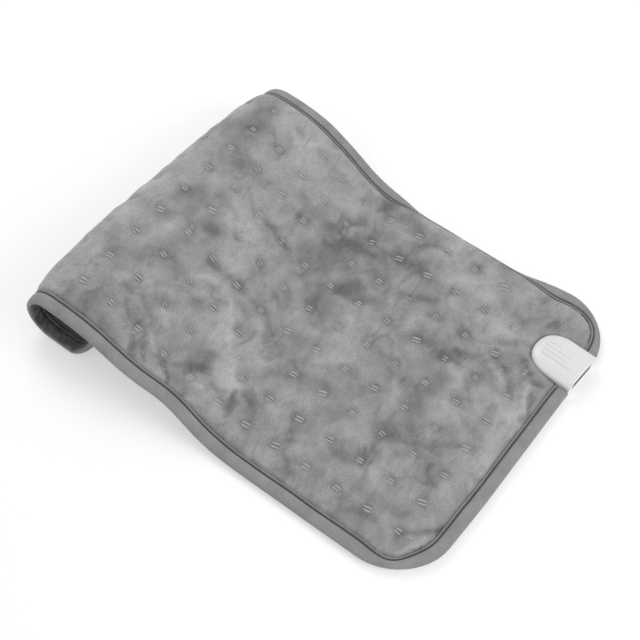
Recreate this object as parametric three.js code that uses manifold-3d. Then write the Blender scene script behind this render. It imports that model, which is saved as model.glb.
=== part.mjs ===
// A plush heating pad, laid out on a table with its tail rolled up beneath it.
// Every layer is drawn flat first, as (along, across, through) in millimetres from the connector end,
// and one drape function then lays all the layers over the same rolled surface.
import * as THREE from 'three';
import { mergeVertices } from 'three/addons/utils/BufferGeometryUtils.js';
import Module from 'manifold-3d';

const wasm = await Module();
wasm.setup();

// The pad, laid flat
const padLength = 600;
const padWidth = 300;
const cornerRadius = 48;

// The quilting: rows of tacks along the pad, columns across it
const tackColumns = 20;
const tackRows = 9;
const endMargin = 36;
const sideMargin = 32.8;

// The layers, from the wire at the middle out to the plush
const wireRadius = 0.8;
const wireClearance = 0.6;
const layerGap = 0.3;
const carrierThickness = 0.4;
const waddingThickness = 0.6;
const coverThickness = 2.2;
const tackThickness = 0.7;

// The hem and the tape that binds it
const hemThickness = 1.1;
const hemLine = 12.8;
const bindingWidth = 12.3;
const bindingWall = 0.8;
const bindingClearance = 0.45;
const edgeClearance = 0.9;
const bindingLift = 1.2;

// The side view of the roll, as the arcs and straights of its middle layer
const flatRun = 197;
const riseAngle = THREE.MathUtils.degToRad(30);
const riseRadius = 109;
const rampRun = 40;
const wallRadius = 15;
const tuckRadius = 11;
const tuckAngle = THREE.MathUtils.degToRad(20);
const innerTurn = THREE.MathUtils.degToRad(194);
const rollGap = 1.6;

// How the roll and the long edges depart from that side view
const edgeHeightShare = 0.8;
const edgeReachShare = 0.88;
const bunchShare = 0.86;
const nearLift = 13;
const farLift = 5;
const edgePull = 2.6;
const edgeLiftReach = 34;
const nearLiftPlace = 228;
const farLiftPlace = 264;
const endSkew = 2.4;
const endSkewReach = 110;
const cornerLift = 5;
const cornerLiftFull = 40;
const cornerLiftEnd = 90;
const humpStart = 50;
const humpFull = 102;
const humpFade = 176;
const humpEnd = 226;
const humpTurn = THREE.MathUtils.degToRad(64);

// The heating wire and its leads
const wireRuns = 8;
const wireOffset = 10;
const wireTail = 70;
const wireSides = 5;
const leadSides = 6;
const mitreShare = 0.5;
const leadClearance = 6.8;
const leadBend = 4;
const spliceLength = 8;
const spliceOffset = 11.2;
const spliceBore = 0.95;
const spliceRadius = 1.2;
const buttGap = 0.3;
const fuseRadius = 1.7;
const fuseNeckShare = 0.55;
const fuseLength = 14;
const fusePlace = 27;
const fuseWindowClearance = 3;
const sensorPlace = 113;
const sensorLength = 6;
const sensorWidth = 3.4;
const sensorThickness = 2.2;
const sensorLeadGap = 0.4;

// The moulded housing at the connector end
const housingRow = 2.95;
const housingTurn = THREE.MathUtils.degToRad(3.5);
const housingWidth = 41;
const housingLength = 44;
const housingStraight = 21;
const housingHeight = 8.6;
const housingWall = 1.8;
const housingFloor = 1.3;
const housingEndWall = 2;
const housingChamfer = 0.8;
const housingSquareness = 2.3;
const shoulderShare = 0.4;
const domeReachShare = 0.8;
const domeSteps = 5;
const partingGap = 0.3;
const seatGap = 0.3;
const fabricClearance = 0.4;
const clampReach = 16;
const clampLip = 3.2;
const clampThickness = 0.9;
const clampWall = 1.2;
const gripRibs = 4;
const gripRibPitch = 4.6;
const gripRibRadius = 0.9;
const gripRibStand = 0.5;
const gripRibStart = 12;
const gripRibLong = 25;
const gripRibShort = 19;

// The socket and its contacts
const socketSideRoom = 7.5;
const socketWidth = housingWidth - 2 * socketSideRoom;
const socketHeight = 7.2;
const socketDepth = 18;
const socketSetBack = 0.4;
const socketFlange = 1.5;
const socketFlangeThickness = 2;
const recessSideWall = 2.5;
const recessWidth = socketWidth - 2 * recessSideWall;
const recessHeight = 5;
const recessDepth = 11;
const contactCount = 4;
const contactPitch = 3.8;
const contactRadius = 0.8;
const contactTip = 5.5;
const contactTail = 4.6;

// The four screws that close the housing
const screwRadius = 1;
const screwHeadRadius = 1.9;
const screwHeadHeight = 1.3;
const screwHeadChamfer = 0.4;
const screwReach = 3.8;
const screwSink = 0.3;
const bossWall = 1.1;
const screwEndMargin = 9.2;
const screwSideMargin = 4.4;
const screwTipMargin = 11;
const innerScrewShare = 0.22;
const outerScrew = { along: screwEndMargin, across: housingWidth / 2 - screwSideMargin };
const innerScrew = { along: housingLength - screwTipMargin, across: housingWidth * innerScrewShare };

const cutOverrun = 1;
const roundSteps = 6;
const outlineSteps = 14;
const cornerSteps = 4;

// Levels through the layers, measured from the middle
const carrierInner = wireRadius + wireClearance;
const carrierOuter = carrierInner + carrierThickness;
const waddingInner = carrierOuter + layerGap;
const waddingOuter = waddingInner + waddingThickness;
const coverInner = waddingOuter + layerGap;
const crownLevel = coverInner + coverThickness;
const tackLevel = coverInner + tackThickness;
const hemInner = layerGap / 2;
const hemOuter = hemInner + hemThickness;
const slotLevel = hemOuter + bindingClearance;
const bindingLevel = slotLevel + bindingWall;
const hemDrop = crownLevel - bindingLevel - bindingLift;
const coverEdge = bindingWall + edgeClearance;

const halfWidth = padWidth / 2;
const tackPitchAlong = (padLength - 2 * endMargin) / (tackColumns - 1);
const tackPitchAcross = (padWidth - 2 * sideMargin) / (tackRows - 1);
const outerTackRow = halfWidth - sideMargin;
const middleTackRow = outerTackRow / 2;

// The housing keeps its place between the rows of tacks, and the leads keep clear of its tip
const housingPlace = housingRow * tackPitchAcross;
const clampStart = housingLength - clampReach;
const leadRow = housingLength + leadClearance;
const splicePlace = leadRow + spliceOffset;
const wireStart = splicePlace + wireOffset;

const fabric = new THREE.MeshStandardMaterial({ color: 0x8f9092, roughness: 0.95, metalness: 0 });
const tape = new THREE.MeshStandardMaterial({ color: 0x86878a, roughness: 0.8, metalness: 0 });
const felt = new THREE.MeshStandardMaterial({ color: 0xe6e3da, roughness: 0.95, metalness: 0 });
const silicone = new THREE.MeshStandardMaterial({ color: 0xb9472f, roughness: 0.6, metalness: 0 });
const leadSheath = new THREE.MeshStandardMaterial({ color: 0xd9d4c8, roughness: 0.55, metalness: 0 });
const whitePlastic = new THREE.MeshStandardMaterial({ color: 0xdfe0e2, roughness: 0.35, metalness: 0 });
const darkPlastic = new THREE.MeshStandardMaterial({ color: 0x2e2f31, roughness: 0.5, metalness: 0 });
const tinned = new THREE.MeshStandardMaterial({ color: 0xc9c4b8, roughness: 0.3, metalness: 0.9 });
const steel = new THREE.MeshStandardMaterial({ color: 0xa9abad, roughness: 0.35, metalness: 0.9 });

// The side view: a list of arcs and straights, each with its length and its turn

function rollSections() {
  const riseLength = riseRadius * riseAngle;
  const riseHeight = 2 * riseRadius * (1 - Math.cos(riseAngle)) + rampRun * Math.sin(riseAngle);
  const rollRadius = riseHeight / 2;
  const layerPitch = 2 * crownLevel + rollGap;
  const innerRadius = rollRadius - layerPitch;
  const quarter = Math.PI / 2;

  // The wall stands square to the crest where the tail tucks in under it
  const lean = Math.sin(tuckAngle);
  const rise = Math.cos(tuckAngle);
  const centreDepth = riseRadius - riseHeight;
  const floorRun = (centreDepth * lean + tuckRadius - wallRadius * (1 - lean)) / rise;
  const underCrest = riseRadius - layerPitch;
  const wallRun = underCrest - tuckRadius - floorRun * lean - (centreDepth + wallRadius) * rise;
  const sections = [
    { length: flatRun, turn: 0 },
    { length: riseLength, turn: riseAngle },
    { length: rampRun, turn: 0 },
    { length: riseLength, turn: -riseAngle },
    { length: Math.PI * rollRadius, turn: -Math.PI },
    { length: floorRun, turn: 0 },
    { length: (quarter - tuckAngle) * wallRadius, turn: tuckAngle - quarter },
    { length: wallRun, turn: 0 },
    { length: quarter * tuckRadius, turn: -quarter },
    { length: tuckAngle * underCrest, turn: -tuckAngle },
    { length: innerTurn * innerRadius, turn: -innerTurn },
    { length: padLength, turn: 0 },
  ];
  let start = 0;
  let heading = 0;
  let x = 0;
  let z = 0;
  for (const section of sections) {
    Object.assign(section, { start, heading, x, z });
    const end = alongSection(section, section.length);
    start += section.length;
    heading += section.turn;
    x = end.x;
    z = end.z;
  }
  return sections;
}

// A point on one section; x runs back from the connector end, so the pad grows towards minus x
function alongSection(section, distance) {
  const { heading, turn, length } = section;
  if (turn === 0) {
    return {
      x: section.x - distance * Math.cos(heading),
      z: section.z + distance * Math.sin(heading),
    };
  }
  const radius = length / turn;
  const angle = heading + (turn * distance) / length;
  return {
    x: section.x - radius * (Math.sin(angle) - Math.sin(heading)),
    z: section.z - radius * (Math.cos(angle) - Math.cos(heading)),
  };
}

const sections = rollSections();
const [, , rampSection, crestSection, rollSection, , wallSection, , tuckSection] = sections;
const rollStart = rollSection.start;

function sideView(along) {
  let section = sections[0];
  for (const candidate of sections) {
    if (candidate.start <= along) section = candidate;
  }
  return alongSection(section, along - section.start);
}

const clamp = THREE.MathUtils.clamp;
const smooth = THREE.MathUtils.smoothstep;

// Lines along the pad between which the drape is straight across the pad
const drapeLines = [
  { across: -halfWidth, barrelShare: 1, liftShare: 1, humpShare: 0, cornerShare: 0 },
  { across: -halfWidth + hemLine, barrelShare: 0.85, liftShare: 1, humpShare: 0, cornerShare: 0 },
  { across: -outerTackRow, barrelShare: 0.35, liftShare: 0.32, humpShare: 0, cornerShare: 0 },
  { across: -middleTackRow, barrelShare: 0, liftShare: 0, humpShare: 0, cornerShare: 0 },
  { across: middleTackRow, barrelShare: 0, liftShare: 0, humpShare: 0, cornerShare: 0 },
  { across: outerTackRow, barrelShare: 0.2, liftShare: 0.32, humpShare: 0.5, cornerShare: 0 },
  { across: halfWidth - hemLine, barrelShare: 0.5, liftShare: 1, humpShare: 1, cornerShare: 0.4 },
  { across: halfWidth, barrelShare: 0.6, liftShare: 1, humpShare: 1, cornerShare: 1 },
];

// The connector end isn't quite square: one corner reaches out and the other is drawn in
const skewAt = (along, across) =>
  endSkew * (across / outerTackRow) ** 3 * (1 - smooth(along, 0, endSkewReach));

// The middle surface at one of those lines
function surfaceAt(along, index) {
  const line = drapeLines[index];
  const point = sideView(along);
  const wallX = wallSection.x - wallRadius;
  const rolled = smooth(along, rampSection.start, rollStart);
  const height = 1 - (1 - edgeHeightShare) * line.barrelShare * rolled;
  const reach = 1 - (1 - edgeReachShare) * line.barrelShare * smooth(along, crestSection.start, rollStart);
  const tuckEnd = tuckSection.start + tuckSection.length;
  const bunched = 1 - (1 - bunchShare) * smooth(along, wallSection.start, tuckEnd);
  const [liftPlace, liftHeight] = line.across < 0 ? [nearLiftPlace, nearLift] : [farLiftPlace, farLift];
  const lifted = Math.exp(-(((along - liftPlace) / edgeLiftReach) ** 2));
  const lift = liftHeight * lifted;
  const humped = smooth(along, humpStart, humpFull) * (1 - smooth(along, humpFade, humpEnd));
  const turned = humpTurn * humped;

  // The far edge turns down and stands on the table, so the pad beside it is lifted
  const hump = hemLine * Math.sin(turned) - (crownLevel - bindingLift) * (1 - Math.cos(turned));
  const raised = cornerLift * (1 - smooth(along, cornerLiftFull, cornerLiftEnd));
  let y = line.across - Math.sign(line.across) * edgePull * lifted * line.liftShare;
  let z = point.z * height + lift * line.liftShare + hump * line.humpShare + raised * line.cornerShare;
  if (index === drapeLines.length - 1) {
    y -= hemLine * (1 - Math.cos(turned));
    z -= hemLine * Math.sin(turned);
  }
  const x = wallX + (point.x - wallX) * reach + skewAt(along, line.across);
  return new THREE.Vector3(x, y * bunched, z);
}

const slopeStep = 0.5;
const bendSlack = 0.02;

function normalAt(along, index) {
  const before = surfaceAt(Math.max(along - slopeStep, 0), index);
  const after = surfaceAt(along + slopeStep, index);
  const left = surfaceAt(along, Math.max(index - 1, 0));
  const right = surfaceAt(along, Math.min(index + 1, drapeLines.length - 1));
  const alongPad = after.sub(before);
  return right.sub(left).cross(alongPad).normalize();
}

// Places along the pad where its layers crease; the pad is straight between them
function creaseStations() {
  const places = [];
  for (let column = 0; column < tackColumns - 1; column += 1) {
    const start = endMargin + column * tackPitchAlong;
    const steps = start + tackPitchAlong < rollStart ? 2 : 3;
    for (let step = 0; step < steps; step += 1) {
      places.push({ along: start + (step * tackPitchAlong) / steps, tacked: step === 0 });
    }
  }
  places.push({ along: padLength - endMargin, tacked: true });
  return places;
}

const stations = creaseStations();
const creases = [0, ...stations.map((station) => station.along), padLength];
const creaseFrames = creases.map((along) =>
  drapeLines.map((line, index) => ({
    point: surfaceAt(along, index),
    normal: normalAt(along, index),
  })),
);

// The point and the normal of the middle surface between two creases and two drape lines
function blendFrames(along, across) {
  let crease = 0;
  while (crease < creases.length - 2 && along > creases[crease + 1]) crease += 1;
  let index = 0;
  while (index < drapeLines.length - 2 && across > drapeLines[index + 1].across) index += 1;
  const onward = (along - creases[crease]) / (creases[crease + 1] - creases[crease]);
  const width = drapeLines[index + 1].across - drapeLines[index].across;
  const sideways = (across - drapeLines[index].across) / width;
  const mixed = (name) => {
    const [here, next] = [crease, crease + 1].map((row) =>
      creaseFrames[row][index][name].clone().lerp(creaseFrames[row][index + 1][name], sideways),
    );
    return here.lerp(next, onward);
  };
  return { point: mixed('point'), normal: mixed('normal') };
}

// How far in from the rounded outline of the pad a place lies
function insetOf(along, across) {
  const fromEnd = Math.min(along, padLength - along);
  const fromSide = halfWidth - Math.abs(across);
  if (fromEnd < cornerRadius && fromSide < cornerRadius) {
    return cornerRadius - Math.hypot(cornerRadius - fromEnd, cornerRadius - fromSide);
  }
  return Math.min(fromEnd, fromSide);
}

// The hem lies lower than the middle of the pad, so that its tape is near the table
function dropAt(along, across) {
  const fromEnd = Math.min(along, padLength - along);
  const fromSide = halfWidth - Math.abs(across);
  const atEnd = (endMargin - fromEnd) / (endMargin - hemLine);
  const atSide = (sideMargin - fromSide) / (sideMargin - hemLine);
  const atCorner = (sideMargin - insetOf(along, across)) / (sideMargin - hemLine);
  return hemDrop * clamp(Math.max(atEnd, atSide, atCorner), 0, 1);
}

// Lays a flat place over the rolled surface; the hem's own layers follow its drop
function drape(along, across, through) {
  const { point, normal } = blendFrames(along, across);
  return point.addScaledVector(normal, through - dropAt(along, across));
}

// Lays a flat place at its level from the middle of the pad, also near the hem
function drapeLevel(along, across, through) {
  const { point, normal } = blendFrames(along, across);
  return point.addScaledVector(normal, through);
}

// A closed body gathered from vertices and triangles, turned to face outwards
class Body {
  constructor() {
    this.positions = [];
    this.triangles = [];
  }

  vertex(x, y, z) {
    this.positions.push(x, y, z);
    return this.positions.length / 3 - 1;
  }

  draped(along, across, through) {
    const point = drape(along, across, through);
    return this.vertex(point.x, point.y, point.z);
  }

  triangle(a, b, c) {
    if (a !== b && b !== c && c !== a) this.triangles.push(a, b, c);
  }

  quad(a, b, c, d) {
    this.triangle(a, b, c);
    this.triangle(a, c, d);
  }

  // Joins two lists of { index, key } whose keys rise alike
  zip(first, second, flip) {
    let i = 0;
    let j = 0;
    while (i < first.length - 1 || j < second.length - 1) {
      const nextFirst = i < first.length - 1 ? first[i + 1].key : Infinity;
      const nextSecond = j < second.length - 1 ? second[j + 1].key : Infinity;
      const a = first[i].index;
      const b = second[j].index;
      if (nextFirst <= nextSecond) {
        i += 1;
        if (flip) this.triangle(a, b, first[i].index);
        else this.triangle(b, a, first[i].index);
      } else {
        j += 1;
        if (flip) this.triangle(a, b, second[j].index);
        else this.triangle(b, a, second[j].index);
      }
    }
  }

  volume() {
    const p = this.positions;
    let sum = 0;
    for (let k = 0; k < this.triangles.length; k += 3) {
      const [a, b, c] = this.triangles.slice(k, k + 3).map((index) => 3 * index);
      sum += p[a] * (p[b + 1] * p[c + 2] - p[b + 2] * p[c + 1]);
      sum += p[a + 1] * (p[b + 2] * p[c] - p[b] * p[c + 2]);
      sum += p[a + 2] * (p[b] * p[c + 1] - p[b + 1] * p[c]);
    }
    return sum / 6;
  }

  geometry() {
    const geometry = new THREE.BufferGeometry();
    const triangles = this.volume() < 0 ? this.triangles.slice().reverse() : this.triangles;
    geometry.setAttribute('position', new THREE.Float32BufferAttribute(this.positions, 3));
    geometry.setIndex(triangles);
    return geometry;
  }
}

function toSolid(geometry) {
  const bare = geometry.clone();
  bare.deleteAttribute('normal');
  bare.deleteAttribute('uv');
  const merged = mergeVertices(bare);
  return new wasm.Manifold(
    new wasm.Mesh({
      numProp: 3,
      vertProperties: new Float32Array(merged.attributes.position.array),
      triVerts: new Uint32Array(merged.index.array),
    }),
  );
}

function fromSolid(solid) {
  const mesh = solid.getMesh();
  const geometry = new THREE.BufferGeometry();
  geometry.setAttribute('position', new THREE.Float32BufferAttribute(mesh.vertProperties, 3));
  geometry.setIndex(Array.from(mesh.triVerts));
  return geometry;
}

const coarseRow = [-outerTackRow, -middleTackRow, middleTackRow, outerTackRow];
const tackedRow = [];
for (let half = 0; half <= 2 * (tackRows - 1); half += 1) {
  tackedRow.push(-outerTackRow + (half * tackPitchAcross) / 2);
}
const crownRow = tackedRow.filter((across, half) => half % 2 === 0);

// Where the tufted face has its vertices: round each tack, and coarser inside the roll
function tuftPlaces({ along, tacked }) {
  if (along > tuckSection.start + tuckSection.length) return coarseRow;
  if (tacked) return tackedRow;
  return along < rollStart ? crownRow : coarseRow;
}

// The inner layers need no crease between the tacks where the pad lies flat
const layerStations = stations.filter(({ along, tacked }) => tacked || along > humpStart - tackPitchAlong);

// The rounded outline of the pad at one inset, with a key that grows round it
function outlineRing(inset) {
  const corner = halfWidth - cornerRadius;
  const arc = cornerRadius - inset;
  const ring = [];
  const straights = [-corner, -middleTackRow, middleTackRow, corner];
  const long = padLength - 2 * cornerRadius;
  const between = stations.filter(
    ({ along }) => along > cornerRadius && along < padLength - cornerRadius,
  );
  const rolled = ({ along, tacked }) => tacked || along > rollStart;
  const farPlaces = between
    .filter((station) => rolled(station) || station.along < humpEnd)
    .map((station) => station.along);
  const liftZone = ({ along }) => along > flatRun - tackPitchAlong && along < crestSection.start;
  const nearPlaces = between
    .filter((station) => rolled(station) || liftZone(station))
    .map((station) => station.along);
  const addArc = (along, across, startAngle, key) => {
    for (let step = 1; step < cornerSteps; step += 1) {
      const share = step / cornerSteps;
      const angle = startAngle + (share * Math.PI) / 2;
      ring.push({
        along: along - arc * Math.cos(angle),
        across: across + arc * Math.sin(angle),
        key: key + share,
      });
    }
  };
  for (const across of straights) {
    ring.push({ along: inset, across, key: (across + corner) / (2 * corner) });
  }
  addArc(cornerRadius, corner, 0, 1);
  for (const along of [cornerRadius, ...farPlaces, padLength - cornerRadius]) {
    ring.push({ along, across: halfWidth - inset, key: 2 + (along - cornerRadius) / long });
  }
  addArc(padLength - cornerRadius, corner, Math.PI / 2, 3);
  for (const across of straights.slice().reverse()) {
    ring.push({ along: padLength - inset, across, key: 4 + (corner - across) / (2 * corner) });
  }
  addArc(padLength - cornerRadius, -corner, Math.PI, 5);
  for (const along of [cornerRadius, ...nearPlaces, padLength - cornerRadius].reverse()) {
    ring.push({ along, across: -halfWidth + inset, key: 6 + (padLength - cornerRadius - along) / long });
  }
  addArc(cornerRadius, -corner, (3 * Math.PI) / 2, 7);
  return ring;
}

const closed = (ring, turn) => [...ring, { ...ring[0], key: ring[0].key + turn }];

// One face of a cover: the tufted block, then the slope down to the hem, then the hem itself.
// It returns the ring of vertices at the cover's edge.
function coverFace(body, side, tufted) {
  const levelOf = (across, places) => {
    if (!tufted) return coverInner;
    const row = (across + outerTackRow) / tackPitchAcross;
    const sewn = places === tackedRow && Math.abs(row - Math.round(row)) < bendSlack;
    return sewn ? tackLevel : crownLevel;
  };
  const rows = (tufted ? stations : layerStations).map((station) => {
    const { along } = station;
    const places = tufted ? tuftPlaces(station) : coarseRow;
    return places.map((across) => ({
      index: body.draped(along, across, side * levelOf(across, places)),
      along,
      across,
      key: across,
    }));
  });
  for (let row = 0; row < rows.length - 1; row += 1) body.zip(rows[row], rows[row + 1], tufted);

  const corner = halfWidth - cornerRadius;
  const long = padLength - 2 * cornerRadius;
  const first = rows[0];
  const last = rows[rows.length - 1];
  const boundary = [];
  for (const place of first.slice(1, -1)) {
    boundary.push({ index: place.index, key: (place.across + corner) / (2 * corner) });
  }
  boundary.push({ index: first[first.length - 1].index, key: 1.5 });
  for (const row of rows.slice(1, -1)) {
    const place = row[row.length - 1];
    boundary.push({ index: place.index, key: 2 + (place.along - cornerRadius) / long });
  }
  boundary.push({ index: last[last.length - 1].index, key: 3.5 });
  for (const place of last.slice(1, -1).reverse()) {
    boundary.push({ index: place.index, key: 4 + (corner - place.across) / (2 * corner) });
  }
  boundary.push({ index: last[0].index, key: 5.5 });
  for (const row of rows.slice(1, -1).reverse()) {
    boundary.push({ index: row[0].index, key: 6 + (padLength - cornerRadius - row[0].along) / long });
  }
  boundary.push({ index: first[0].index, key: 7.5 });

  const hemLevel = tufted ? hemOuter : hemInner;
  const ringAt = (inset) =>
    outlineRing(inset).map((place) => ({
      index: body.draped(place.along, place.across, side * hemLevel),
      key: place.key,
    }));
  const hemRing = ringAt(hemLine);
  const edgeRing = ringAt(coverEdge);
  body.zip(closed(boundary, 8), closed(hemRing, 8), !tufted);
  body.zip(closed(hemRing, 8), closed(edgeRing, 8), !tufted);
  return edgeRing;
}

function coverBody(side) {
  const body = new Body();
  const outer = coverFace(body, side, true);
  const inner = coverFace(body, side, false);
  body.zip(closed(outer, 8), closed(inner, 8), false);
  return body;
}

// A plain layer inside the quilted block, between two levels
function layerBody(lowLevel, highLevel) {
  const body = new Body();
  const reach = outerTackRow - seatGap;
  const places = [-reach, -middleTackRow, middleTackRow, reach];
  const lines = layerStations.map((station) => station.along);
  lines[0] += seatGap;
  lines[lines.length - 1] -= seatGap;
  const grid = (level) => lines.map((along) => places.map((across) => body.draped(along, across, level)));
  const low = grid(lowLevel);
  const high = grid(highLevel);
  const columns = places.length - 1;
  for (let row = 0; row < lines.length - 1; row += 1) {
    for (let column = 0; column < columns; column += 1) {
      body.quad(high[row + 1][column], high[row + 1][column + 1], high[row][column + 1], high[row][column]);
      body.quad(low[row + 1][column], low[row][column], low[row][column + 1], low[row + 1][column + 1]);
    }
    body.quad(low[row][0], low[row + 1][0], high[row + 1][0], high[row][0]);
    body.quad(high[row][columns], high[row + 1][columns], low[row + 1][columns], low[row][columns]);
  }
  const end = lines.length - 1;
  for (let column = 0; column < columns; column += 1) {
    body.quad(low[0][column + 1], low[0][column], high[0][column], high[0][column + 1]);
    body.quad(low[end][column], low[end][column + 1], high[end][column + 1], high[end][column]);
  }
  return body;
}

// The binding: a folded tape that grips the hem all the way round
function bindingBody() {
  const body = new Body();
  const fold = [
    [bindingWidth, slotLevel],
    [bindingWidth, bindingLevel],
    [bindingWall / 2, bindingLevel],
    [0, 0],
    [bindingWall / 2, -bindingLevel],
    [bindingWidth, -bindingLevel],
    [bindingWidth, -slotLevel],
    [bindingWall, -slotLevel],
    [bindingWall, slotLevel],
  ];
  const rings = fold.map(([inset, level]) =>
    outlineRing(inset).map((place) => body.draped(place.along, place.across, level)),
  );
  const count = rings[0].length;
  for (let corner = 0; corner < fold.length; corner += 1) {
    const here = rings[corner];
    const next = rings[(corner + 1) % fold.length];
    const inward = fold[(corner + 1) % fold.length][0] > fold[corner][0];
    for (let step = 0; step < count; step += 1) {
      const onward = (step + 1) % count;
      if (inward) body.quad(here[step], here[onward], next[onward], next[step]);
      else body.quad(here[onward], next[onward], next[step], here[step]);
    }
  }
  return body;
}

// Whether the pad bends at one of its creases, across a given place
function bendsAt(crease, across) {
  const [before, here, after] = [-1, 0, 1].map((step) => drapeLevel(creases[crease + step], across, 0));
  const share = (creases[crease] - creases[crease - 1]) / (creases[crease + 1] - creases[crease - 1]);
  return before.lerp(after, share).distanceTo(here) > bendSlack;
}

// Adds to a flat path the places where it crosses a crease that bends
function creased(path) {
  const result = [path[0]];
  for (let index = 1; index < path.length; index += 1) {
    const [from, to] = [path[index - 1], path[index]];
    const crossed = [];
    for (let crease = 1; crease < creases.length - 1; crease += 1) {
      const share = (creases[crease] - from[0]) / (to[0] - from[0]);
      const across = from[1] + share * (to[1] - from[1]);
      const inside = Math.min(share, 1 - share) * Math.abs(to[0] - from[0]) > bendSlack;
      if (inside && bendsAt(crease, across)) crossed.push({ share, place: [creases[crease], across] });
    }
    crossed.sort((a, b) => a.share - b.share);
    result.push(...crossed.map(({ place }) => place), to);
  }
  return result;
}

// A round wire through flat places [along, across], laid at the middle of the pad
function wireBody(places, radius, sides) {
  const body = new Body();
  const rings = places.map((place, index) => {
    const before = places[Math.max(index - 1, 0)];
    const after = places[Math.min(index + 1, places.length - 1)];
    const into = new THREE.Vector2(place[0] - before[0], place[1] - before[1]).normalize();
    const out = new THREE.Vector2(after[0] - place[0], after[1] - place[1]).normalize();
    if (index === 0) into.copy(out);
    if (index === places.length - 1) out.copy(into);
    const mean = into.clone().add(out).normalize();
    const spread = radius / Math.max(mean.dot(into), mitreShare);
    const ring = [];
    for (let side = 0; side < sides; side += 1) {
      const angle = (2 * Math.PI * (side + 0.5)) / sides;
      const sideways = spread * Math.cos(angle);
      const along = place[0] - mean.y * sideways;
      const across = place[1] + mean.x * sideways;
      const point = drapeLevel(along, across, radius * Math.sin(angle));
      ring.push(body.vertex(point.x, point.y, point.z));
    }
    return ring;
  });
  for (let row = 0; row < rings.length - 1; row += 1) {
    for (let side = 0; side < sides; side += 1) {
      const next = (side + 1) % sides;
      body.quad(rings[row][side], rings[row][next], rings[row + 1][next], rings[row + 1][side]);
    }
  }
  const last = rings[rings.length - 1];
  for (let side = 1; side < sides - 1; side += 1) {
    body.triangle(rings[0][0], rings[0][side + 1], rings[0][side]);
    body.triangle(last[0], last[side], last[side + 1]);
  }
  return body;
}

// Lays a finished small piece, made flat, on the middle of the pad
function laidOnPad(geometry) {
  const places = geometry.attributes.position;
  for (let index = 0; index < places.count; index += 1) {
    const { x, y, z } = drapeLevel(-places.getX(index), places.getY(index), places.getZ(index));
    places.setXYZ(index, x, y, z);
  }
  return geometry;
}

// The serpentine: runs along the pad between the rows of tacks, joined by half turns
function heatingPath() {
  const path = [];
  const turnRadius = tackPitchAcross / 2;
  const tailEnd = padLength - wireTail;
  for (let run = 0; run < wireRuns; run += 1) {
    const across = -outerTackRow + (run + 0.5) * tackPitchAcross;
    const outward = run % 2 === 0;
    const start = run === 0 || run === wireRuns - 1 ? splicePlace + buttGap / 2 : wireStart;
    const points = [start, tailEnd].map((along) => [along, across]);
    path.push(...(outward ? points : points.reverse()));
    if (run === wireRuns - 1) break;
    const centre = across + turnRadius;
    for (let step = 1; step < roundSteps; step += 1) {
      const angle = (Math.PI * step) / roundSteps;
      const bulge = turnRadius * Math.sin(angle);
      const along = outward ? tailEnd + bulge : wireStart - bulge;
      path.push([along, centre - turnRadius * Math.cos(angle)]);
    }
  }
  return path;
}

// Rounds the corners of a path
function rounded(points, radius) {
  const path = [points[0]];
  for (let index = 1; index < points.length - 1; index += 1) {
    const here = new THREE.Vector2(...points[index]);
    const toBefore = new THREE.Vector2(...points[index - 1]).sub(here).normalize();
    const toAfter = new THREE.Vector2(...points[index + 1]).sub(here).normalize();
    const start = here.clone().addScaledVector(toBefore, radius);
    const end = here.clone().addScaledVector(toAfter, radius);
    const curve = new THREE.QuadraticBezierCurve(start, here, end);
    for (const point of curve.getPoints(roundSteps / 2)) path.push([point.x, point.y]);
  }
  path.push(points[points.length - 1]);
  return path;
}

// Outline of the housing seen from above, grown or shrunk by one offset; its outer end stays put
function tongueOutline(inset, outerEnd) {
  const half = housingWidth / 2 - inset;
  const tip = housingLength - housingStraight - inset;
  const points = [new THREE.Vector2(-outerEnd, -half)];
  for (let step = 0; step <= outlineSteps; step += 1) {
    const angle = -Math.PI / 2 + (Math.PI * step) / outlineSteps;
    const power = 2 / housingSquareness;
    const along = housingStraight + tip * Math.abs(Math.cos(angle)) ** power;
    const across = half * Math.sign(Math.sin(angle)) * Math.abs(Math.sin(angle)) ** power;
    points.push(new THREE.Vector2(-along, across));
  }
  points.push(new THREE.Vector2(-outerEnd, half));
  return points;
}

// A solid through a stack of outlines, closed by a flat bottom and a fanned top
function stackedSolid(levels, outerEnd, topHeight) {
  const body = new Body();
  const rings = levels.map(([inset, height]) =>
    tongueOutline(inset, outerEnd).map((point) => body.vertex(point.x, point.y, height)),
  );
  const count = rings[0].length;
  for (let level = 0; level < rings.length - 1; level += 1) {
    for (let step = 0; step < count; step += 1) {
      const next = (step + 1) % count;
      body.quad(rings[level][step], rings[level][next], rings[level + 1][next], rings[level + 1][step]);
    }
  }
  const middle = -(outerEnd + housingStraight) / 2;
  const bottom = body.vertex(middle, 0, levels[0][1]);
  const ridgeEnd = body.vertex(-outerEnd, 0, topHeight);
  const ridge = body.vertex(-housingStraight, 0, topHeight);
  const top = rings[rings.length - 1];
  const half = count / 2;
  for (let step = 0; step < count; step += 1) {
    const next = (step + 1) % count;
    body.triangle(bottom, rings[0][next], rings[0][step]);
    if (step === count - 1) body.triangle(ridgeEnd, top[step], top[next]);
    else body.triangle(ridge, top[step], top[next]);
  }
  body.triangle(ridge, ridgeEnd, top[0]);
  body.triangle(ridgeEnd, ridge, top[2 * half - 1]);
  return toSolid(body.geometry());
}

function boxSolid(x0, x1, y0, y1, z0, z1) {
  const geometry = new THREE.BoxGeometry(x1 - x0, y1 - y0, z1 - z0);
  geometry.translate((x0 + x1) / 2, (y0 + y1) / 2, (z0 + z1) / 2);
  return toSolid(geometry);
}

function postSolid(x, y, radius, z0, z1) {
  const geometry = new THREE.CylinderGeometry(radius, radius, z1 - z0, 2 * roundSteps);
  geometry.rotateX(Math.PI / 2);
  geometry.translate(x, y, (z0 + z1) / 2);
  return toSolid(geometry);
}

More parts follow.
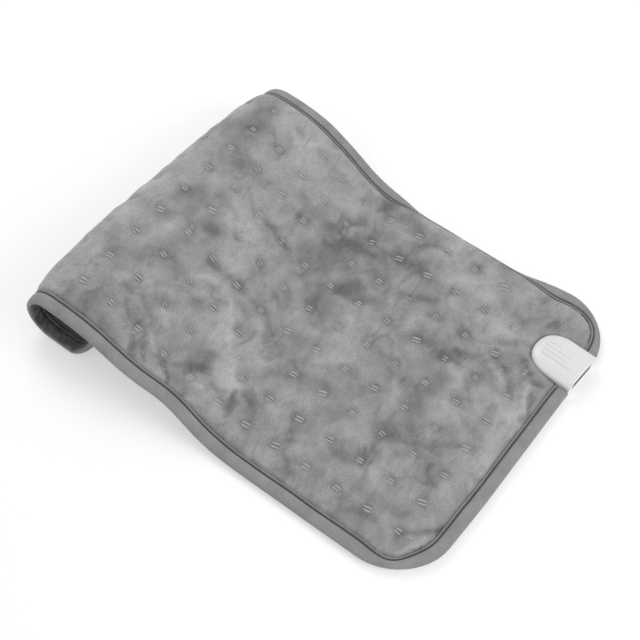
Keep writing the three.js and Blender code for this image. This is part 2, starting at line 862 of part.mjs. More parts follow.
const prism = (offset, z0, z1) =>
  stackedSolid([[-offset, z0], [-offset, z1]], -cutOverrun, z1);

// Heights in the housing are measured from the parting plane, at the middle of the pad
const floorLevel = -crownLevel;
const screwPlaces = [outerScrew, innerScrew].flatMap(({ along, across }) => [
  [-along, across],
  [-along, -across],
]);
const bossRadius = screwRadius + seatGap + bossWall;
const headSeat = floorLevel + screwSink + screwHeadHeight + seatGap;
const clampSlot = hemInner + clampThickness + seatGap;

function clampRing(outset, inset, z0, z1) {
  const ring = prism(outset, z0, z1).subtract(prism(-inset, z0 - cutOverrun, z1 + cutOverrun));
  const outerHalf = boxSolid(-clampStart, padWidth, -padWidth, padWidth, -padWidth, padWidth);
  return ring.subtract(outerHalf);
}

function socketMouth() {
  const half = socketWidth / 2 + seatGap;
  const tall = socketHeight / 2 + seatGap;
  return boxSolid(-housingEndWall - cutOverrun, cutOverrun, -half, half, -tall, tall);
}

// Levels of a dome: upright to the shoulder, then a quarter of an ellipse
function domeLevels(start, inset, height) {
  const shoulder = housingHeight * shoulderShare;
  const levels = [
    [inset, start],
    [inset, shoulder],
  ];
  for (let step = 1; step < domeSteps; step += 1) {
    const angle = (step * Math.PI) / (2 * domeSteps);
    levels.push([
      inset + (housingWidth / 2 - inset) * domeReachShare * (1 - Math.cos(angle)),
      shoulder + (height - shoulder) * Math.sin(angle),
    ]);
  }
  return levels;
}

function housingTop() {
  const outer = stackedSolid(domeLevels(partingGap / 2, 0, housingHeight), 0, housingHeight);
  const ceiling = housingHeight - housingWall;
  let cavity = stackedSolid(domeLevels(-cutOverrun, housingWall, ceiling), housingEndWall, ceiling);
  for (const [x, y] of screwPlaces) {
    cavity = cavity.subtract(postSolid(x, y, bossRadius, -cutOverrun - seatGap, housingHeight));
  }
  for (const place of [2 * socketFlange + socketFlangeThickness, socketDepth - housingWall]) {
    const low = socketHeight / 2 + seatGap;
    const reach = socketWidth / 2 - housingWall;
    cavity = cavity.subtract(
      boxSolid(-place - housingWall, -place, -reach, reach, low, housingHeight),
    );
  }
  let shell = outer.subtract(cavity).subtract(socketMouth());
  for (const [x, y] of screwPlaces) {
    shell = shell.subtract(postSolid(x, y, screwRadius + seatGap, -cutOverrun, screwReach + seatGap));
  }
  shell = shell.subtract(clampRing(cutOverrun, clampLip + seatGap, -clampSlot, clampSlot));
  for (let rib = 0; rib < gripRibs; rib += 1) {
    const across = (rib - (gripRibs - 1) / 2) * gripRibPitch;
    const length = rib === 0 || rib === gripRibs - 1 ? gripRibShort : gripRibLong;
    const geometry = new THREE.CapsuleGeometry(gripRibRadius, length - 2 * gripRibRadius, 2, 8);
    geometry.rotateZ(Math.PI / 2);
    geometry.translate(-gripRibStart - length / 2, across, housingHeight + gripRibStand - gripRibRadius);
    shell = shell.add(toSolid(geometry));
  }
  return shell;
}

function housingBottom() {
  const outer = stackedSolid(
    [
      [housingChamfer, floorLevel],
      [0, floorLevel + housingChamfer],
      [0, -partingGap / 2],
    ],
    0,
    -partingGap / 2,
  );
  let cavity = stackedSolid(
    [
      [housingWall, floorLevel + housingFloor],
      [housingWall, cutOverrun],
    ],
    housingEndWall,
    cutOverrun,
  );
  for (const [x, y] of screwPlaces) {
    cavity = cavity.subtract(postSolid(x, y, bossRadius, floorLevel, cutOverrun + seatGap));
  }
  for (const side of [-1, 1]) {
    const near = side * (contactPitch * contactCount) / 2;
    const far = side * (socketWidth / 2);
    const [left, right] = [Math.min(near, far), Math.max(near, far)];
    const start = -socketSetBack - socketDepth - seatGap;
    cavity = cavity.subtract(
      boxSolid(start - housingWall, start, left, right, floorLevel, cutOverrun),
    );
  }
  let shell = outer.subtract(cavity).subtract(socketMouth());
  for (const [x, y] of screwPlaces) {
    shell = shell.subtract(postSolid(x, y, screwRadius + seatGap, floorLevel - cutOverrun, cutOverrun));
    shell = shell.subtract(postSolid(x, y, screwHeadRadius + seatGap, floorLevel - cutOverrun, headSeat));
  }
  return shell.subtract(clampRing(cutOverrun, clampLip + seatGap, -clampSlot, clampSlot));
}

// The socket: a block with a rounded recess, a flange behind the end wall and a bore for each contact
function socketBlock() {
  const front = -socketSetBack;
  const back = front - socketDepth;
  const half = socketWidth / 2;
  const tall = socketHeight / 2;
  let block = boxSolid(back, front, -half, half, -tall, tall);
  const flangeHalf = half + socketFlange;
  const flangeFront = -housingEndWall - seatGap;
  const flangeBack = flangeFront - socketFlangeThickness;
  block = block.add(boxSolid(flangeBack, flangeFront, -flangeHalf, flangeHalf, -tall, tall));
  const round = recessHeight / 2;
  const straight = recessWidth / 2 - round;
  const shape = new THREE.Shape();
  shape.moveTo(-straight, -round);
  shape.lineTo(straight, -round);
  shape.absarc(straight, 0, round, -Math.PI / 2, Math.PI / 2, false);
  shape.lineTo(-straight, round);
  shape.absarc(-straight, 0, round, Math.PI / 2, (3 * Math.PI) / 2, false);
  const recess = new THREE.ExtrudeGeometry(shape, {
    depth: recessDepth + cutOverrun,
    bevelEnabled: false,
    curveSegments: roundSteps,
  });
  recess.rotateX(Math.PI / 2);
  recess.rotateZ(Math.PI / 2);
  recess.translate(front - recessDepth, 0, 0);
  block = block.subtract(toSolid(recess));
  for (const across of contactPlaces) {
    const bore = new THREE.CylinderGeometry(
      contactRadius + seatGap,
      contactRadius + seatGap,
      socketDepth,
      2 * roundSteps,
    );
    bore.rotateZ(Math.PI / 2);
    bore.translate(back, across, 0);
    block = block.subtract(toSolid(bore));
  }
  return block;
}

const contactPlaces = [];
for (let contact = 0; contact < contactCount; contact += 1) {
  contactPlaces.push((contact - (contactCount - 1) / 2) * contactPitch);
}
const contactEnd = socketSetBack + socketDepth + contactTail;
const housingReach = skewAt(0, housingPlace);

// A contact: a pin with a rounded tip, its solder tail reaching back past the block
function contactPin() {
  const length = contactEnd - contactTip;
  const profile = [new THREE.Vector2(0, 0), new THREE.Vector2(contactRadius, 0)];
  profile.push(new THREE.Vector2(contactRadius, length - contactRadius));
  for (let step = 1; step <= 2; step += 1) {
    const angle = (step * Math.PI) / 4;
    const radius = step === 2 ? 0 : contactRadius * Math.cos(angle);
    profile.push(new THREE.Vector2(radius, length - contactRadius * (1 - Math.sin(angle))));
  }
  const geometry = new THREE.LatheGeometry(profile, 8);
  geometry.rotateZ(-Math.PI / 2);
  geometry.translate(-contactEnd, 0, 0);
  return geometry;
}

function screwGeometry() {
  const head = floorLevel + screwSink;
  const profile = [
    [0, head],
    [screwHeadRadius - screwHeadChamfer, head],
    [screwHeadRadius, head + screwHeadChamfer],
    [screwHeadRadius, head + screwHeadHeight],
    [screwRadius, head + screwHeadHeight],
    [screwRadius, screwReach - screwRadius],
    [0, screwReach],
  ].map(([radius, height]) => new THREE.Vector2(radius, height));
  const geometry = new THREE.LatheGeometry(profile, 10);
  geometry.rotateX(Math.PI / 2);
  return geometry;
}

// A splice: a short crimped sleeve round the butted ends of a lead and the heating wire
function spliceGeometry() {
  const half = spliceLength / 2;
  const profile = [
    [spliceBore, -half],
    [spliceRadius, -half],
    [spliceRadius, half],
    [spliceBore, half],
    [spliceBore, -half],
  ].map(([radius, place]) => new THREE.Vector2(radius, place));
  const geometry = new THREE.LatheGeometry(profile, 8);
  geometry.rotateZ(Math.PI / 2);
  return geometry;
}

function fuseGeometry() {
  const half = fuseLength / 2;
  const neck = fuseRadius * fuseNeckShare;
  const profile = [
    [0, -half],
    [neck, -half],
    [fuseRadius, -half + fuseRadius],
    [fuseRadius, half - fuseRadius],
    [neck, half],
    [0, half],
  ].map(([radius, place]) => new THREE.Vector2(radius, place));
  return new THREE.LatheGeometry(profile, 10);
}

// Where the leads run, as flat places [along, across]; each leaves its contact along the housing's axis
const outerRun = outerTackRow - tackPitchAcross / 2;
const runOf = (along) => along + housingReach - skewAt(along, housingPlace);
const leadStart = (contactEnd + buttGap) * Math.cos(housingTurn);
const [feed, senseA, senseB, back] = contactPlaces.map((across) => {
  const bare = leadStart - across * Math.sin(housingTurn);
  const start = bare - housingReach + skewAt(bare, housingPlace + across);
  const at = (along) => [
    along,
    housingPlace + runOf(along) * Math.tan(housingTurn) + across / Math.cos(housingTurn),
  ];
  return { start, at };
});
const spliceEnd = splicePlace - buttGap / 2;
const fuseHalf = fuseLength / 2 + buttGap;
const leadPaths = {
  lead_to_fuse: rounded(
    [
      feed.at(feed.start),
      feed.at(leadRow),
      [leadRow, fusePlace + fuseHalf],
    ],
    leadBend,
  ),
  lead_from_fuse: rounded(
    [
      [leadRow, fusePlace - fuseHalf],
      [leadRow, -outerRun],
      [spliceEnd, -outerRun],
    ],
    leadBend,
  ),
  lead_return: rounded(
    [
      back.at(back.start),
      back.at(leadRow - leadBend),
      [splicePlace - spliceLength / 2 - leadBend, outerRun],
      [spliceEnd, outerRun],
    ],
    leadBend / 2,
  ),
};
const sensorEnd = sensorPlace - sensorLength / 2 - buttGap;
const sensorAcross = housingPlace + runOf(sensorPlace) * Math.tan(housingTurn);
const sensorLeadOffset = wireRadius + sensorLeadGap / 2;
for (const [name, lead, side] of [
  ['sensor_lead_a', senseA, -1],
  ['sensor_lead_b', senseB, 1],
]) {
  leadPaths[name] = [
    lead.at(lead.start),
    lead.at(sensorEnd - 3 * leadBend),
    [sensorEnd - leadBend, sensorAcross + side * sensorLeadOffset],
    [sensorEnd, sensorAcross + side * sensorLeadOffset],
  ];
}

const pad = new THREE.Group();
const housing = new THREE.Group();
housing.position.set(housingReach, housingPlace, 0);
housing.rotation.z = -housingTurn;
pad.add(housing);

function addMesh(group, name, geometry, material) {
  const mesh = new THREE.Mesh(geometry, material);
  mesh.name = name;
  group.add(mesh);
  return mesh;
}

const moved = (solid) =>
  solid
    .rotate([0, 0, -THREE.MathUtils.radToDeg(housingTurn)])
    .translate([housingReach, housingPlace, 0]);
const housingCut = moved(prism(fabricClearance, -padWidth, padWidth));

// The covers: tufted plush, cut round the housing, with a lip that the housing clamps
for (const [name, side] of [['cover_top', 1], ['cover_bottom', -1]]) {
  const low = side > 0 ? hemInner : -hemInner - clampThickness;
  const wallReach = crownLevel - clampWall;
  const wallLow = side > 0 ? hemInner : -wallReach;
  const wallHigh = side > 0 ? wallReach : -hemInner;
  const lip = clampRing(fabricClearance + clampWall, clampLip, low, low + clampThickness);
  const wall = clampRing(fabricClearance + clampWall, -fabricClearance, wallLow, wallHigh);
  const wireGate = contactPlaces[contactCount - 1] + wireRadius + wireClearance;
  const gate = boxSolid(
    -housingLength - 2 * clampLip,
    -housingLength + 3 * clampLip,
    -wireGate,
    wireGate,
    -carrierInner,
    carrierInner,
  );
  const rim = moved(lip.add(wall).subtract(gate));
  const cover = toSolid(coverBody(side).geometry()).subtract(housingCut).add(rim);
  addMesh(pad, name, fromSolid(cover), fabric);
}

addMesh(
  pad,
  'edge_binding',
  fromSolid(toSolid(bindingBody().geometry()).subtract(housingCut)),
  tape,
);

// The wadding and the carrier sheets that hold the wire, cut round the housing
const layerCut = moved(prism(2 * clampWall, -padWidth, padWidth));
const fuseWindow = boxSolid(
  -leadRow - fuseRadius - fuseWindowClearance,
  -leadRow + fuseRadius + fuseWindowClearance,
  fusePlace - fuseHalf - fuseWindowClearance,
  fusePlace + fuseHalf + fuseWindowClearance,
  -waddingInner,
  waddingInner,
);
for (const [name, low, high] of [
  ['wadding_top', waddingInner, waddingOuter],
  ['wadding_bottom', -waddingOuter, -waddingInner],
  ['carrier_top', carrierInner, carrierOuter],
  ['carrier_bottom', -carrierOuter, -carrierInner],
]) {
  let layer = toSolid(layerBody(low, high).geometry()).subtract(layerCut);
  if (name.startsWith('carrier')) layer = layer.subtract(fuseWindow);
  addMesh(pad, name, fromSolid(layer), felt);
}

addMesh(
  pad,
  'heating_wire',
  wireBody(creased(heatingPath()), wireRadius, wireSides).geometry(),
  silicone,
);
for (const [name, path] of Object.entries(leadPaths)) {
  addMesh(pad, name, wireBody(creased(path), wireRadius, leadSides).geometry(), leadSheath);
}
for (const [name, side] of [['splice_near', -1], ['splice_far', 1]]) {
  const splice = spliceGeometry();
  splice.translate(-splicePlace, side * outerRun, 0);
  addMesh(pad, name, laidOnPad(splice), tinned);
}
const fuse = fuseGeometry();
fuse.translate(-leadRow, fusePlace, 0);
addMesh(pad, 'thermal_fuse', laidOnPad(fuse), tinned);
const sensorShape = new THREE.SphereGeometry(0.5, 10, 6);
sensorShape.scale(sensorLength, sensorWidth, sensorThickness);
sensorShape.translate(-sensorPlace, sensorAcross, 0);
addMesh(pad, 'temperature_sensor', laidOnPad(sensorShape), darkPlastic);

// The housing and what it holds
addMesh(housing, 'housing_top', fromSolid(housingTop()), whitePlastic);
addMesh(housing, 'housing_bottom', fromSolid(housingBottom()), whitePlastic);
addMesh(housing, 'socket_block', fromSolid(socketBlock()), darkPlastic);
contactPlaces.forEach((across, index) => {
  const pin = addMesh(housing, `contact_pin_${index + 1}`, contactPin(), tinned);
  pin.position.set(0, across, 0);
});
screwPlaces.forEach(([x, y], index) => {
  const screw = addMesh(housing, `housing_screw_${index + 1}`, screwGeometry(), steel);
  screw.position.set(x, y, 0);
});

// The origin is under the middle of the pad's box, at table height
const box = new THREE.Box3().setFromObject(pad, true);
const centre = box.getCenter(new THREE.Vector3());
const part = new THREE.Group();
part.position.set(-centre.x, -centre.y, -box.min.z);
part.add(pad);
part.updateMatrixWorld(true);

export default part;
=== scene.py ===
# %% [markdown]
# # A plush heating pad, rolled up under its own tail
# The object is one long cloth sandwich: two tufted plush covers, a bound edge, wire and wadding inside,
# and a white moulded socket housing let into one end. It lies on a table, and its far end is rolled up
# underneath it, so the lesson has one main idea: draw every layer flat, where its tacks and its
# outline are simple, and then lay all of them over the same rolled surface with one function.

# %% Load the frame
import math

import bpy
import numpy as np
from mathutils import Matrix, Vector


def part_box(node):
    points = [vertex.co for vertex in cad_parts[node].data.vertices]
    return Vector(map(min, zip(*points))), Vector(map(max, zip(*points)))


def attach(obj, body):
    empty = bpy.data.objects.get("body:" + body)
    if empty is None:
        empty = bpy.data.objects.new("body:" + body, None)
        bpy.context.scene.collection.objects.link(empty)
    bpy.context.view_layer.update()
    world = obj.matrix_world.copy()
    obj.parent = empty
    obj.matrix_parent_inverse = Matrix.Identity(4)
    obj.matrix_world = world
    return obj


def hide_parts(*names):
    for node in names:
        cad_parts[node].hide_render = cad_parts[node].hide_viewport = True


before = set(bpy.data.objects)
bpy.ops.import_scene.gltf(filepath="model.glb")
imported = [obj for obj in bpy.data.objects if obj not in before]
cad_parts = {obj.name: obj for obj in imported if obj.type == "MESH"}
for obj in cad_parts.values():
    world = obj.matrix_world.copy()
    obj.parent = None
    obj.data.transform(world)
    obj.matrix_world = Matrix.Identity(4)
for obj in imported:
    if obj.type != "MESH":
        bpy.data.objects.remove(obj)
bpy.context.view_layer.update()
MM = 0.001
print("solids to dress:", len(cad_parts))

# %% [markdown]
# ## The camera
# The camera comes first, because every later choice is judged through it. Its angle was found by
# fitting the lattice of tacks, whose real spacing is known, to the picture. It leans a little to one
# side, as a hand-held camera does, so its three axes are written out instead of aimed at a target.

# %% Camera
view_azimuth = math.radians(29.24)
view_elevation = math.radians(53.40)
view_roll = math.radians(8.62)
view_distance = 0.9613
view_target = Vector((-0.0050, -0.0045, 0.0089))
lens_length = 68.4


def make_camera():
    """A camera that looks at the pad from in front, above and a little to the right."""
    flat = math.cos(view_elevation)
    back = Vector((math.sin(view_azimuth) * flat, -math.cos(view_azimuth) * flat, math.sin(view_elevation)))
    right = Vector((0, 0, 1)).cross(back).normalized()
    up = back.cross(right)
    turned_right = math.cos(view_roll) * right + math.sin(view_roll) * up
    turned_up = math.cos(view_roll) * up - math.sin(view_roll) * right
    camera = bpy.data.objects.new("camera", bpy.data.cameras.new("camera"))
    bpy.context.scene.collection.objects.link(camera)
    camera.data.lens = lens_length
    place = camera.matrix_world.copy()
    columns = (turned_right, turned_up, back, view_target + back * view_distance)
    for row in range(3):
        place[row][:] = [column[row] for column in columns]
    camera.matrix_world = place
    bpy.context.scene.camera = camera
    return camera


camera = make_camera()
print("camera stands at", tuple(round(value, 3) for value in camera.matrix_world.translation))

# %% [markdown]
# ## The pad's own sizes
# These are the sizes a pattern cutter would write down: the flat outline, the lattice of tacks and the
# levels of the layers, measured from the wire at the middle of the sandwich. They are the same values
# as in the solid model, so that each dressed layer lies where its solid lies.

# %% Sizes of the flat pad
pad_length = 600 * MM
half_width = 150 * MM
corner_radius = 48 * MM
tack_columns, tack_rows = 20, 9
end_margin, side_margin = 36 * MM, 32.8 * MM
tack_pitch_along = (pad_length - 2 * end_margin) / (tack_columns - 1)
tack_pitch_across = 2 * (half_width - side_margin) / (tack_rows - 1)
outer_row = half_width - side_margin

carrier_levels = (1.4 * MM, 1.8 * MM)
wadding_levels = (2.1 * MM, 2.7 * MM)
cover_inner = 3.0 * MM
crown_level = 5.2 * MM
hem_levels = (0.15 * MM, 1.25 * MM)
hem_line = 12.8 * MM
hem_drop = 1.5 * MM

# %% Sizes of the roll
flat_run = 197 * MM
rise_angle, rise_radius = math.radians(30), 109 * MM
ramp_run = 40 * MM
wall_radius, tuck_radius = 15 * MM, 11 * MM
tuck_angle = math.radians(20)
inner_turn = math.radians(194)
roll_gap = 1.6 * MM

# %% Place of the housing
housing_half = 20.5 * MM
housing_length = 44 * MM
housing_straight = 21 * MM
housing_turn = math.radians(3.5)
housing_place = 2.95 * tack_pitch_across
end_skew = 2.4 * MM
housing_reach = end_skew * (housing_place / outer_row) ** 3
screw_places = [(9.2, 16.1), (9.2, -16.1), (33, 9.02), (33, -9.02)]

screw_boxes = [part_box(f"housing_screw_{number}") for number in range(1, 5)]
screws_middle = sum(((low + high) / 2 for low, high in screw_boxes), Vector()) / 4
from_end = sum(along for along, across in screw_places) / 4 * MM
end_x = screws_middle.x + from_end * math.cos(housing_turn) - housing_reach
end_y = screws_middle.y - from_end * math.sin(housing_turn) - housing_place
offset = np.array([end_x, end_y, crown_level])
print("middle of the pad's end in mm:", np.round(offset / MM, 2).tolist())
print("tack spacing in mm:", round(tack_pitch_along / MM, 2), round(tack_pitch_across / MM, 2))

# %% [markdown]
# ## The rolled surface
# Seen from the side, the middle of the pad is a chain of arcs and straights. Such a chain is easiest to
# draw through its heading: on a straight the heading stays, on an arc it turns at a steady rate. Adding
# up small steps along the heading then gives the curve.

# %% Side view of the roll


def side_view_chain():
    """Start and turn of each arc or straight, from the connector end to the tail."""
    rise_length = rise_radius * rise_angle
    rise_height = 2 * rise_radius * (1 - math.cos(rise_angle)) + ramp_run * math.sin(rise_angle)
    roll_radius = rise_height / 2
    layer_pitch = 2 * crown_level + roll_gap
    quarter = math.pi / 2
    lean, rise = math.sin(tuck_angle), math.cos(tuck_angle)
    centre_depth = rise_radius - rise_height
    floor_run = (centre_depth * lean + tuck_radius - wall_radius * (1 - lean)) / rise
    under_crest = rise_radius - layer_pitch
    wall_run = under_crest - tuck_radius - floor_run * lean - (centre_depth + wall_radius) * rise
    return [
        (flat_run, 0),
        (rise_length, rise_angle),
        (ramp_run, 0),
        (rise_length, -rise_angle),
        (math.pi * roll_radius, -math.pi),
        (floor_run, 0),
        ((quarter - tuck_angle) * wall_radius, tuck_angle - quarter),
        (wall_run, 0),
        (quarter * tuck_radius, -quarter),
        (tuck_angle * under_crest, -tuck_angle),
        (inner_turn * (roll_radius - layer_pitch), -inner_turn),
        (pad_length, 0),
    ]


chain = side_view_chain()
chain_starts = np.concatenate([[0], np.cumsum([length for length, turn in chain])])
chain_headings = np.concatenate([[0], np.cumsum([turn for length, turn in chain])])
ramp_start, crest_start, roll_start = chain_starts[2], chain_starts[3], chain_starts[4]
wall_start, tuck_end = chain_starts[6], chain_starts[9]

chain_step = 0.2 * MM
chain_places = np.arange(0, pad_length + 10 * MM, chain_step)
chain_heading = np.interp(chain_places, chain_starts, chain_headings)
middle_heading = (chain_heading[1:] + chain_heading[:-1]) / 2
chain_x = np.concatenate([[0], -np.cumsum(np.cos(middle_heading)) * chain_step])
chain_z = np.concatenate([[0], np.cumsum(np.sin(middle_heading)) * chain_step])
print("height of the roll in mm:", round(chain_z.max() / MM, 1))

# %% [markdown]
# Real cloth doesn't follow one side view from edge to edge. The ends of the roll are slacker than its
# middle, the near edge lifts where the ramp begins, and the far edge turns down under a bulge of plush.
# Eight lines along the pad carry those differences, and the cloth is blended between them.

# %% The drape
line_across = np.array([-half_width, -half_width + hem_line, -outer_row, -outer_row / 2,
                        outer_row / 2, outer_row, half_width - hem_line, half_width])
barrel_shares = np.array([1, 0.85, 0.35, 0, 0, 0.2, 0.5, 0.6])
lift_shares = np.array([1, 1, 0.32, 0, 0, 0.32, 1, 1])
hump_shares = np.array([0, 0, 0, 0, 0, 0.5, 1, 1])
corner_shares = np.array([0, 0, 0, 0, 0, 0, 0.4, 1])
edge_height_share, edge_reach_share, bunch_share = 0.8, 0.88, 0.86
near_lift, far_lift, edge_pull = 13 * MM, 5 * MM, 2.6 * MM
lift_reach = 34 * MM
near_lift_place, far_lift_place = 228 * MM, 264 * MM
corner_lift = 5 * MM
hump_turn = math.radians(64)
skew_fades = (0, 110 * MM)
hump_rises, hump_falls = (50 * MM, 102 * MM), (176 * MM, 226 * MM)
hump_level = crown_level - 1.2 * MM
corner_falls = (40 * MM, 90 * MM)
blend_reach = 8 * MM
slope_step = 0.6 * MM


def smooth(value, start, end):
    """0 before start, 1 after end, and an even slope between."""
    share = np.clip((value - start) / (end - start), 0, 1)
    return share * share * (3 - 2 * share)


def skew_at(along, across):
    """How far the connector end reaches out at one corner and is drawn in at the other."""
    share = np.interp(across, line_across, (line_across / outer_row) ** 3)
    return end_skew * share * (1 - smooth(along, *skew_fades))


def line_points(along):
    """Where the eight lines run, for each place along the pad."""
    along = np.clip(along, 0, None)[:, None]
    x = np.interp(along, chain_places, chain_x)
    z = np.interp(along, chain_places, chain_z)
    wall_x = np.interp(wall_start, chain_places, chain_x) - wall_radius
    height = 1 - (1 - edge_height_share) * barrel_shares * smooth(along, ramp_start, roll_start)
    reach = 1 - (1 - edge_reach_share) * barrel_shares * smooth(along, crest_start, roll_start)
    bunched = 1 - (1 - bunch_share) * smooth(along, wall_start, tuck_end)
    near = line_across < 0
    lift_place = np.where(near, near_lift_place, far_lift_place)
    lifted = np.exp(-(((along - lift_place) / lift_reach) ** 2))
    lift = np.where(near, near_lift, far_lift) * lifted
    humped = smooth(along, *hump_rises) * (1 - smooth(along, *hump_falls))
    turned = hump_turn * humped
    hump = hem_line * np.sin(turned) - hump_level * (1 - np.cos(turned))
    raised = corner_lift * (1 - smooth(along, *corner_falls))
    outermost = np.arange(len(line_across)) == len(line_across) - 1
    y = line_across - np.sign(line_across) * edge_pull * lifted * lift_shares
    y = y - outermost * hem_line * (1 - np.cos(turned))
    z = z * height + lift * lift_shares + hump * hump_shares + raised * corner_shares
    z = z - outermost * hem_line * np.sin(turned)
    x = wall_x + (x - wall_x) * reach + skew_at(along, line_across)
    return np.stack([x, y * bunched, z], axis=2)


def line_weights(across):
    """How much each of the eight lines counts, with the bend at each line rounded off."""
    weights = np.zeros((len(across), len(line_across)))
    rows = np.arange(len(across))
    shifts = np.linspace(-blend_reach, blend_reach, 9)
    bells = 1 + np.cos(math.pi * shifts / (blend_reach * 1.125))
    for shift, bell in zip(shifts, bells / bells.sum()):
        place = across + shift
        index = np.clip(np.searchsorted(line_across, place) - 1, 0, len(line_across) - 2)
        share = (place - line_across[index]) / (line_across[index + 1] - line_across[index])
        np.add.at(weights, (rows, index), bell * (1 - share))
        np.add.at(weights, (rows, index + 1), bell * share)
    return weights


def middle_surface(along, across):
    """Points of the middle of the pad, in the row frame."""
    return np.einsum("nk,nkc->nc", line_weights(across), line_points(along)) + offset


def inset_of(along, across):
    """How far in from the rounded outline each flat place lies."""
    from_end = np.minimum(along, pad_length - along)
    from_side = half_width - np.abs(across)
    at_corner = corner_radius - np.hypot(corner_radius - from_end, corner_radius - from_side)
    in_corner = (from_end < corner_radius) & (from_side < corner_radius)
    return np.where(in_corner, at_corner, np.minimum(from_end, from_side))


# Which way each pulled corner faces, how widely the pull spreads, and how far it goes
corner_pulls = [(-math.radians(120), 0.35, 4.2 * MM), (math.radians(132), 0.6, 5.5 * MM)]
pull_start, pull_peak = 16 * MM, 37 * MM


def draw_corners(along, across):
    """Pulls the seam out towards the edge at the two corners beside the housing, where it was sewn so."""
    for middle, spread, pull in corner_pulls:
        from_along = along - corner_radius
        from_across = across - math.copysign(half_width - corner_radius, middle)
        away = np.maximum(np.hypot(from_along, from_across), 0.1 * MM)
        turn = np.angle(np.exp(1j * (np.arctan2(from_across, from_along) - middle)))
        ring = smooth(away, pull_start, pull_peak) * (1 - smooth(away, pull_peak, corner_radius))
        moved = pull * ring * np.exp(-((turn / spread) ** 2)) / away
        along, across = along + from_along * moved, across + from_across * moved
    return along, across


def drape(along, across, through):
    """Lays flat places over the rolled surface, at their level through the pad."""
    along, across, through = (np.asarray(value, float) for value in (along, across, through))
    inset = inset_of(along, across)
    along, across = draw_corners(along, across)
    before, after = np.clip(along - slope_step, 0, None), along + slope_step
    lengthwise = middle_surface(after, across) - middle_surface(before, across)
    sideways = middle_surface(along, across + slope_step) - middle_surface(along, across - slope_step)
    normal = np.cross(sideways, lengthwise)
    normal /= np.linalg.norm(normal, axis=1)[:, None]
    drop = hem_drop * (1 - smooth(inset, hem_line, side_margin))
    return middle_surface(along, across) + normal * (through - drop)[:, None]


middle_of_pad = drape([0, 0.3], [0, 0], [crown_level, crown_level])
print("the drape puts two places at", np.round(middle_of_pad / MM, 1).tolist())

# %% [markdown]
# ## Helpers for meshes
# Blender takes a mesh as a list of points and a list of faces. The flat pieces are cut with a solid
# in the flat state, where the cut round the housing is a plain upright wall, and are draped last. The
# flat place of every vertex is kept as an attribute, so that a finish can follow the cloth. A place
# further along the pad lies at a smaller x, so the drape mirrors what it lays down, and every draped
# piece has its faces turned round afterwards to point outwards again.

# %% Mesh helpers
rest_level = 0.02 * MM


def new_piece(name, points, faces):
    """A mesh object at the origin."""
    mesh = bpy.data.meshes.new(name)
    places = [tuple(point) for point in np.asarray(points, float)]
    mesh.from_pydata(places, [], [tuple(face) for face in faces])
    mesh.update()
    piece = bpy.data.objects.new(name, mesh)
    bpy.context.scene.collection.objects.link(piece)
    return piece


def evaluated_mesh(piece):
    """The piece's mesh with its modifiers carried out."""
    depsgraph = bpy.context.evaluated_depsgraph_get()
    return bpy.data.meshes.new_from_object(piece.evaluated_get(depsgraph), depsgraph=depsgraph)


def bake_modifiers(piece):
    """Replaces the mesh by its evaluated form and takes the modifiers off."""
    mesh = evaluated_mesh(piece)
    piece.modifiers.clear()
    piece.data = mesh


def box_piece(low, high):
    """A closed box between two corners."""
    corners = [[(high, low)[number >> axis & 1][axis] for axis in range(3)] for number in range(8)]
    faces = [(0, 1, 3, 2), (4, 6, 7, 5), (0, 4, 5, 1), (2, 3, 7, 6), (0, 2, 6, 4), (1, 5, 7, 3)]
    return new_piece("box", corners, faces)


def cut(piece, tool):
    """Takes one closed piece away from another, and uses it up."""
    modifier = piece.modifiers.new("cut", "BOOLEAN")
    modifier.operation = "DIFFERENCE"
    modifier.solver = "MANIFOLD"
    modifier.object = tool
    bake_modifiers(piece)
    bpy.data.objects.remove(tool)


def grid_faces(columns, rows, first=0):
    """Quads of a grid whose points are numbered row by row."""
    i, j = np.meshgrid(np.arange(columns - 1), np.arange(rows - 1), indexing="ij")
    corner = (first + i * rows + j).ravel()
    return np.column_stack([corner, corner + rows, corner + rows + 1, corner + 1])


def border(columns, rows, first=0):
    """Numbers of the points once round the edge of such a grid."""
    index = first + np.arange(columns * rows).reshape(columns, rows)
    return np.concatenate([index[:-1, 0], index[-1, :-1], index[:0:-1, -1], index[0, :0:-1]]).tolist()


def tube_faces(rings, around, first=0):
    """Faces of a closed tube whose points are numbered ring by ring."""
    faces = []
    for ring in range(first, first + (rings - 1) * around, around):
        for step in range(around):
            here, onward = ring + step, ring + (step + 1) % around
            faces.append((here, onward, onward + around, here + around))
    last = first + (rings - 1) * around
    return [*faces, tuple(range(first, first + around))[::-1], tuple(range(last, last + around))]


def stacked_piece(name, rings):
    """A closed solid through a stack of outlines, each with its height."""
    points = [np.column_stack([outline, np.full(len(outline), height)]) for outline, height in rings]
    return new_piece(name, np.concatenate(points), tube_faces(len(rings), len(points[0])))


def coordinates(mesh):
    """The vertices of a mesh as an array."""
    values = np.zeros(3 * len(mesh.vertices), np.float32)
    mesh.vertices.foreach_get("co", values)
    return values.reshape(-1, 3).astype(float)


def move_mirrored(piece, places):
    """Moves the vertices to mirrored places, and turns the faces round so that they point outwards."""
    piece.data.vertices.foreach_set("co", places.astype(np.float32).ravel())
    piece.data.flip_normals()
    piece.data.update()


def keep_values(piece, name, values):
    """Keeps one number or one vector per vertex under a name, for a finish or a node tree to read."""
    values = np.asarray(values, np.float32)
    kind, field = ("FLOAT_VECTOR", "vector") if values.ndim > 1 else ("FLOAT", "value")
    piece.data.attributes.new(name, kind, "POINT").data.foreach_set(field, values.ravel())


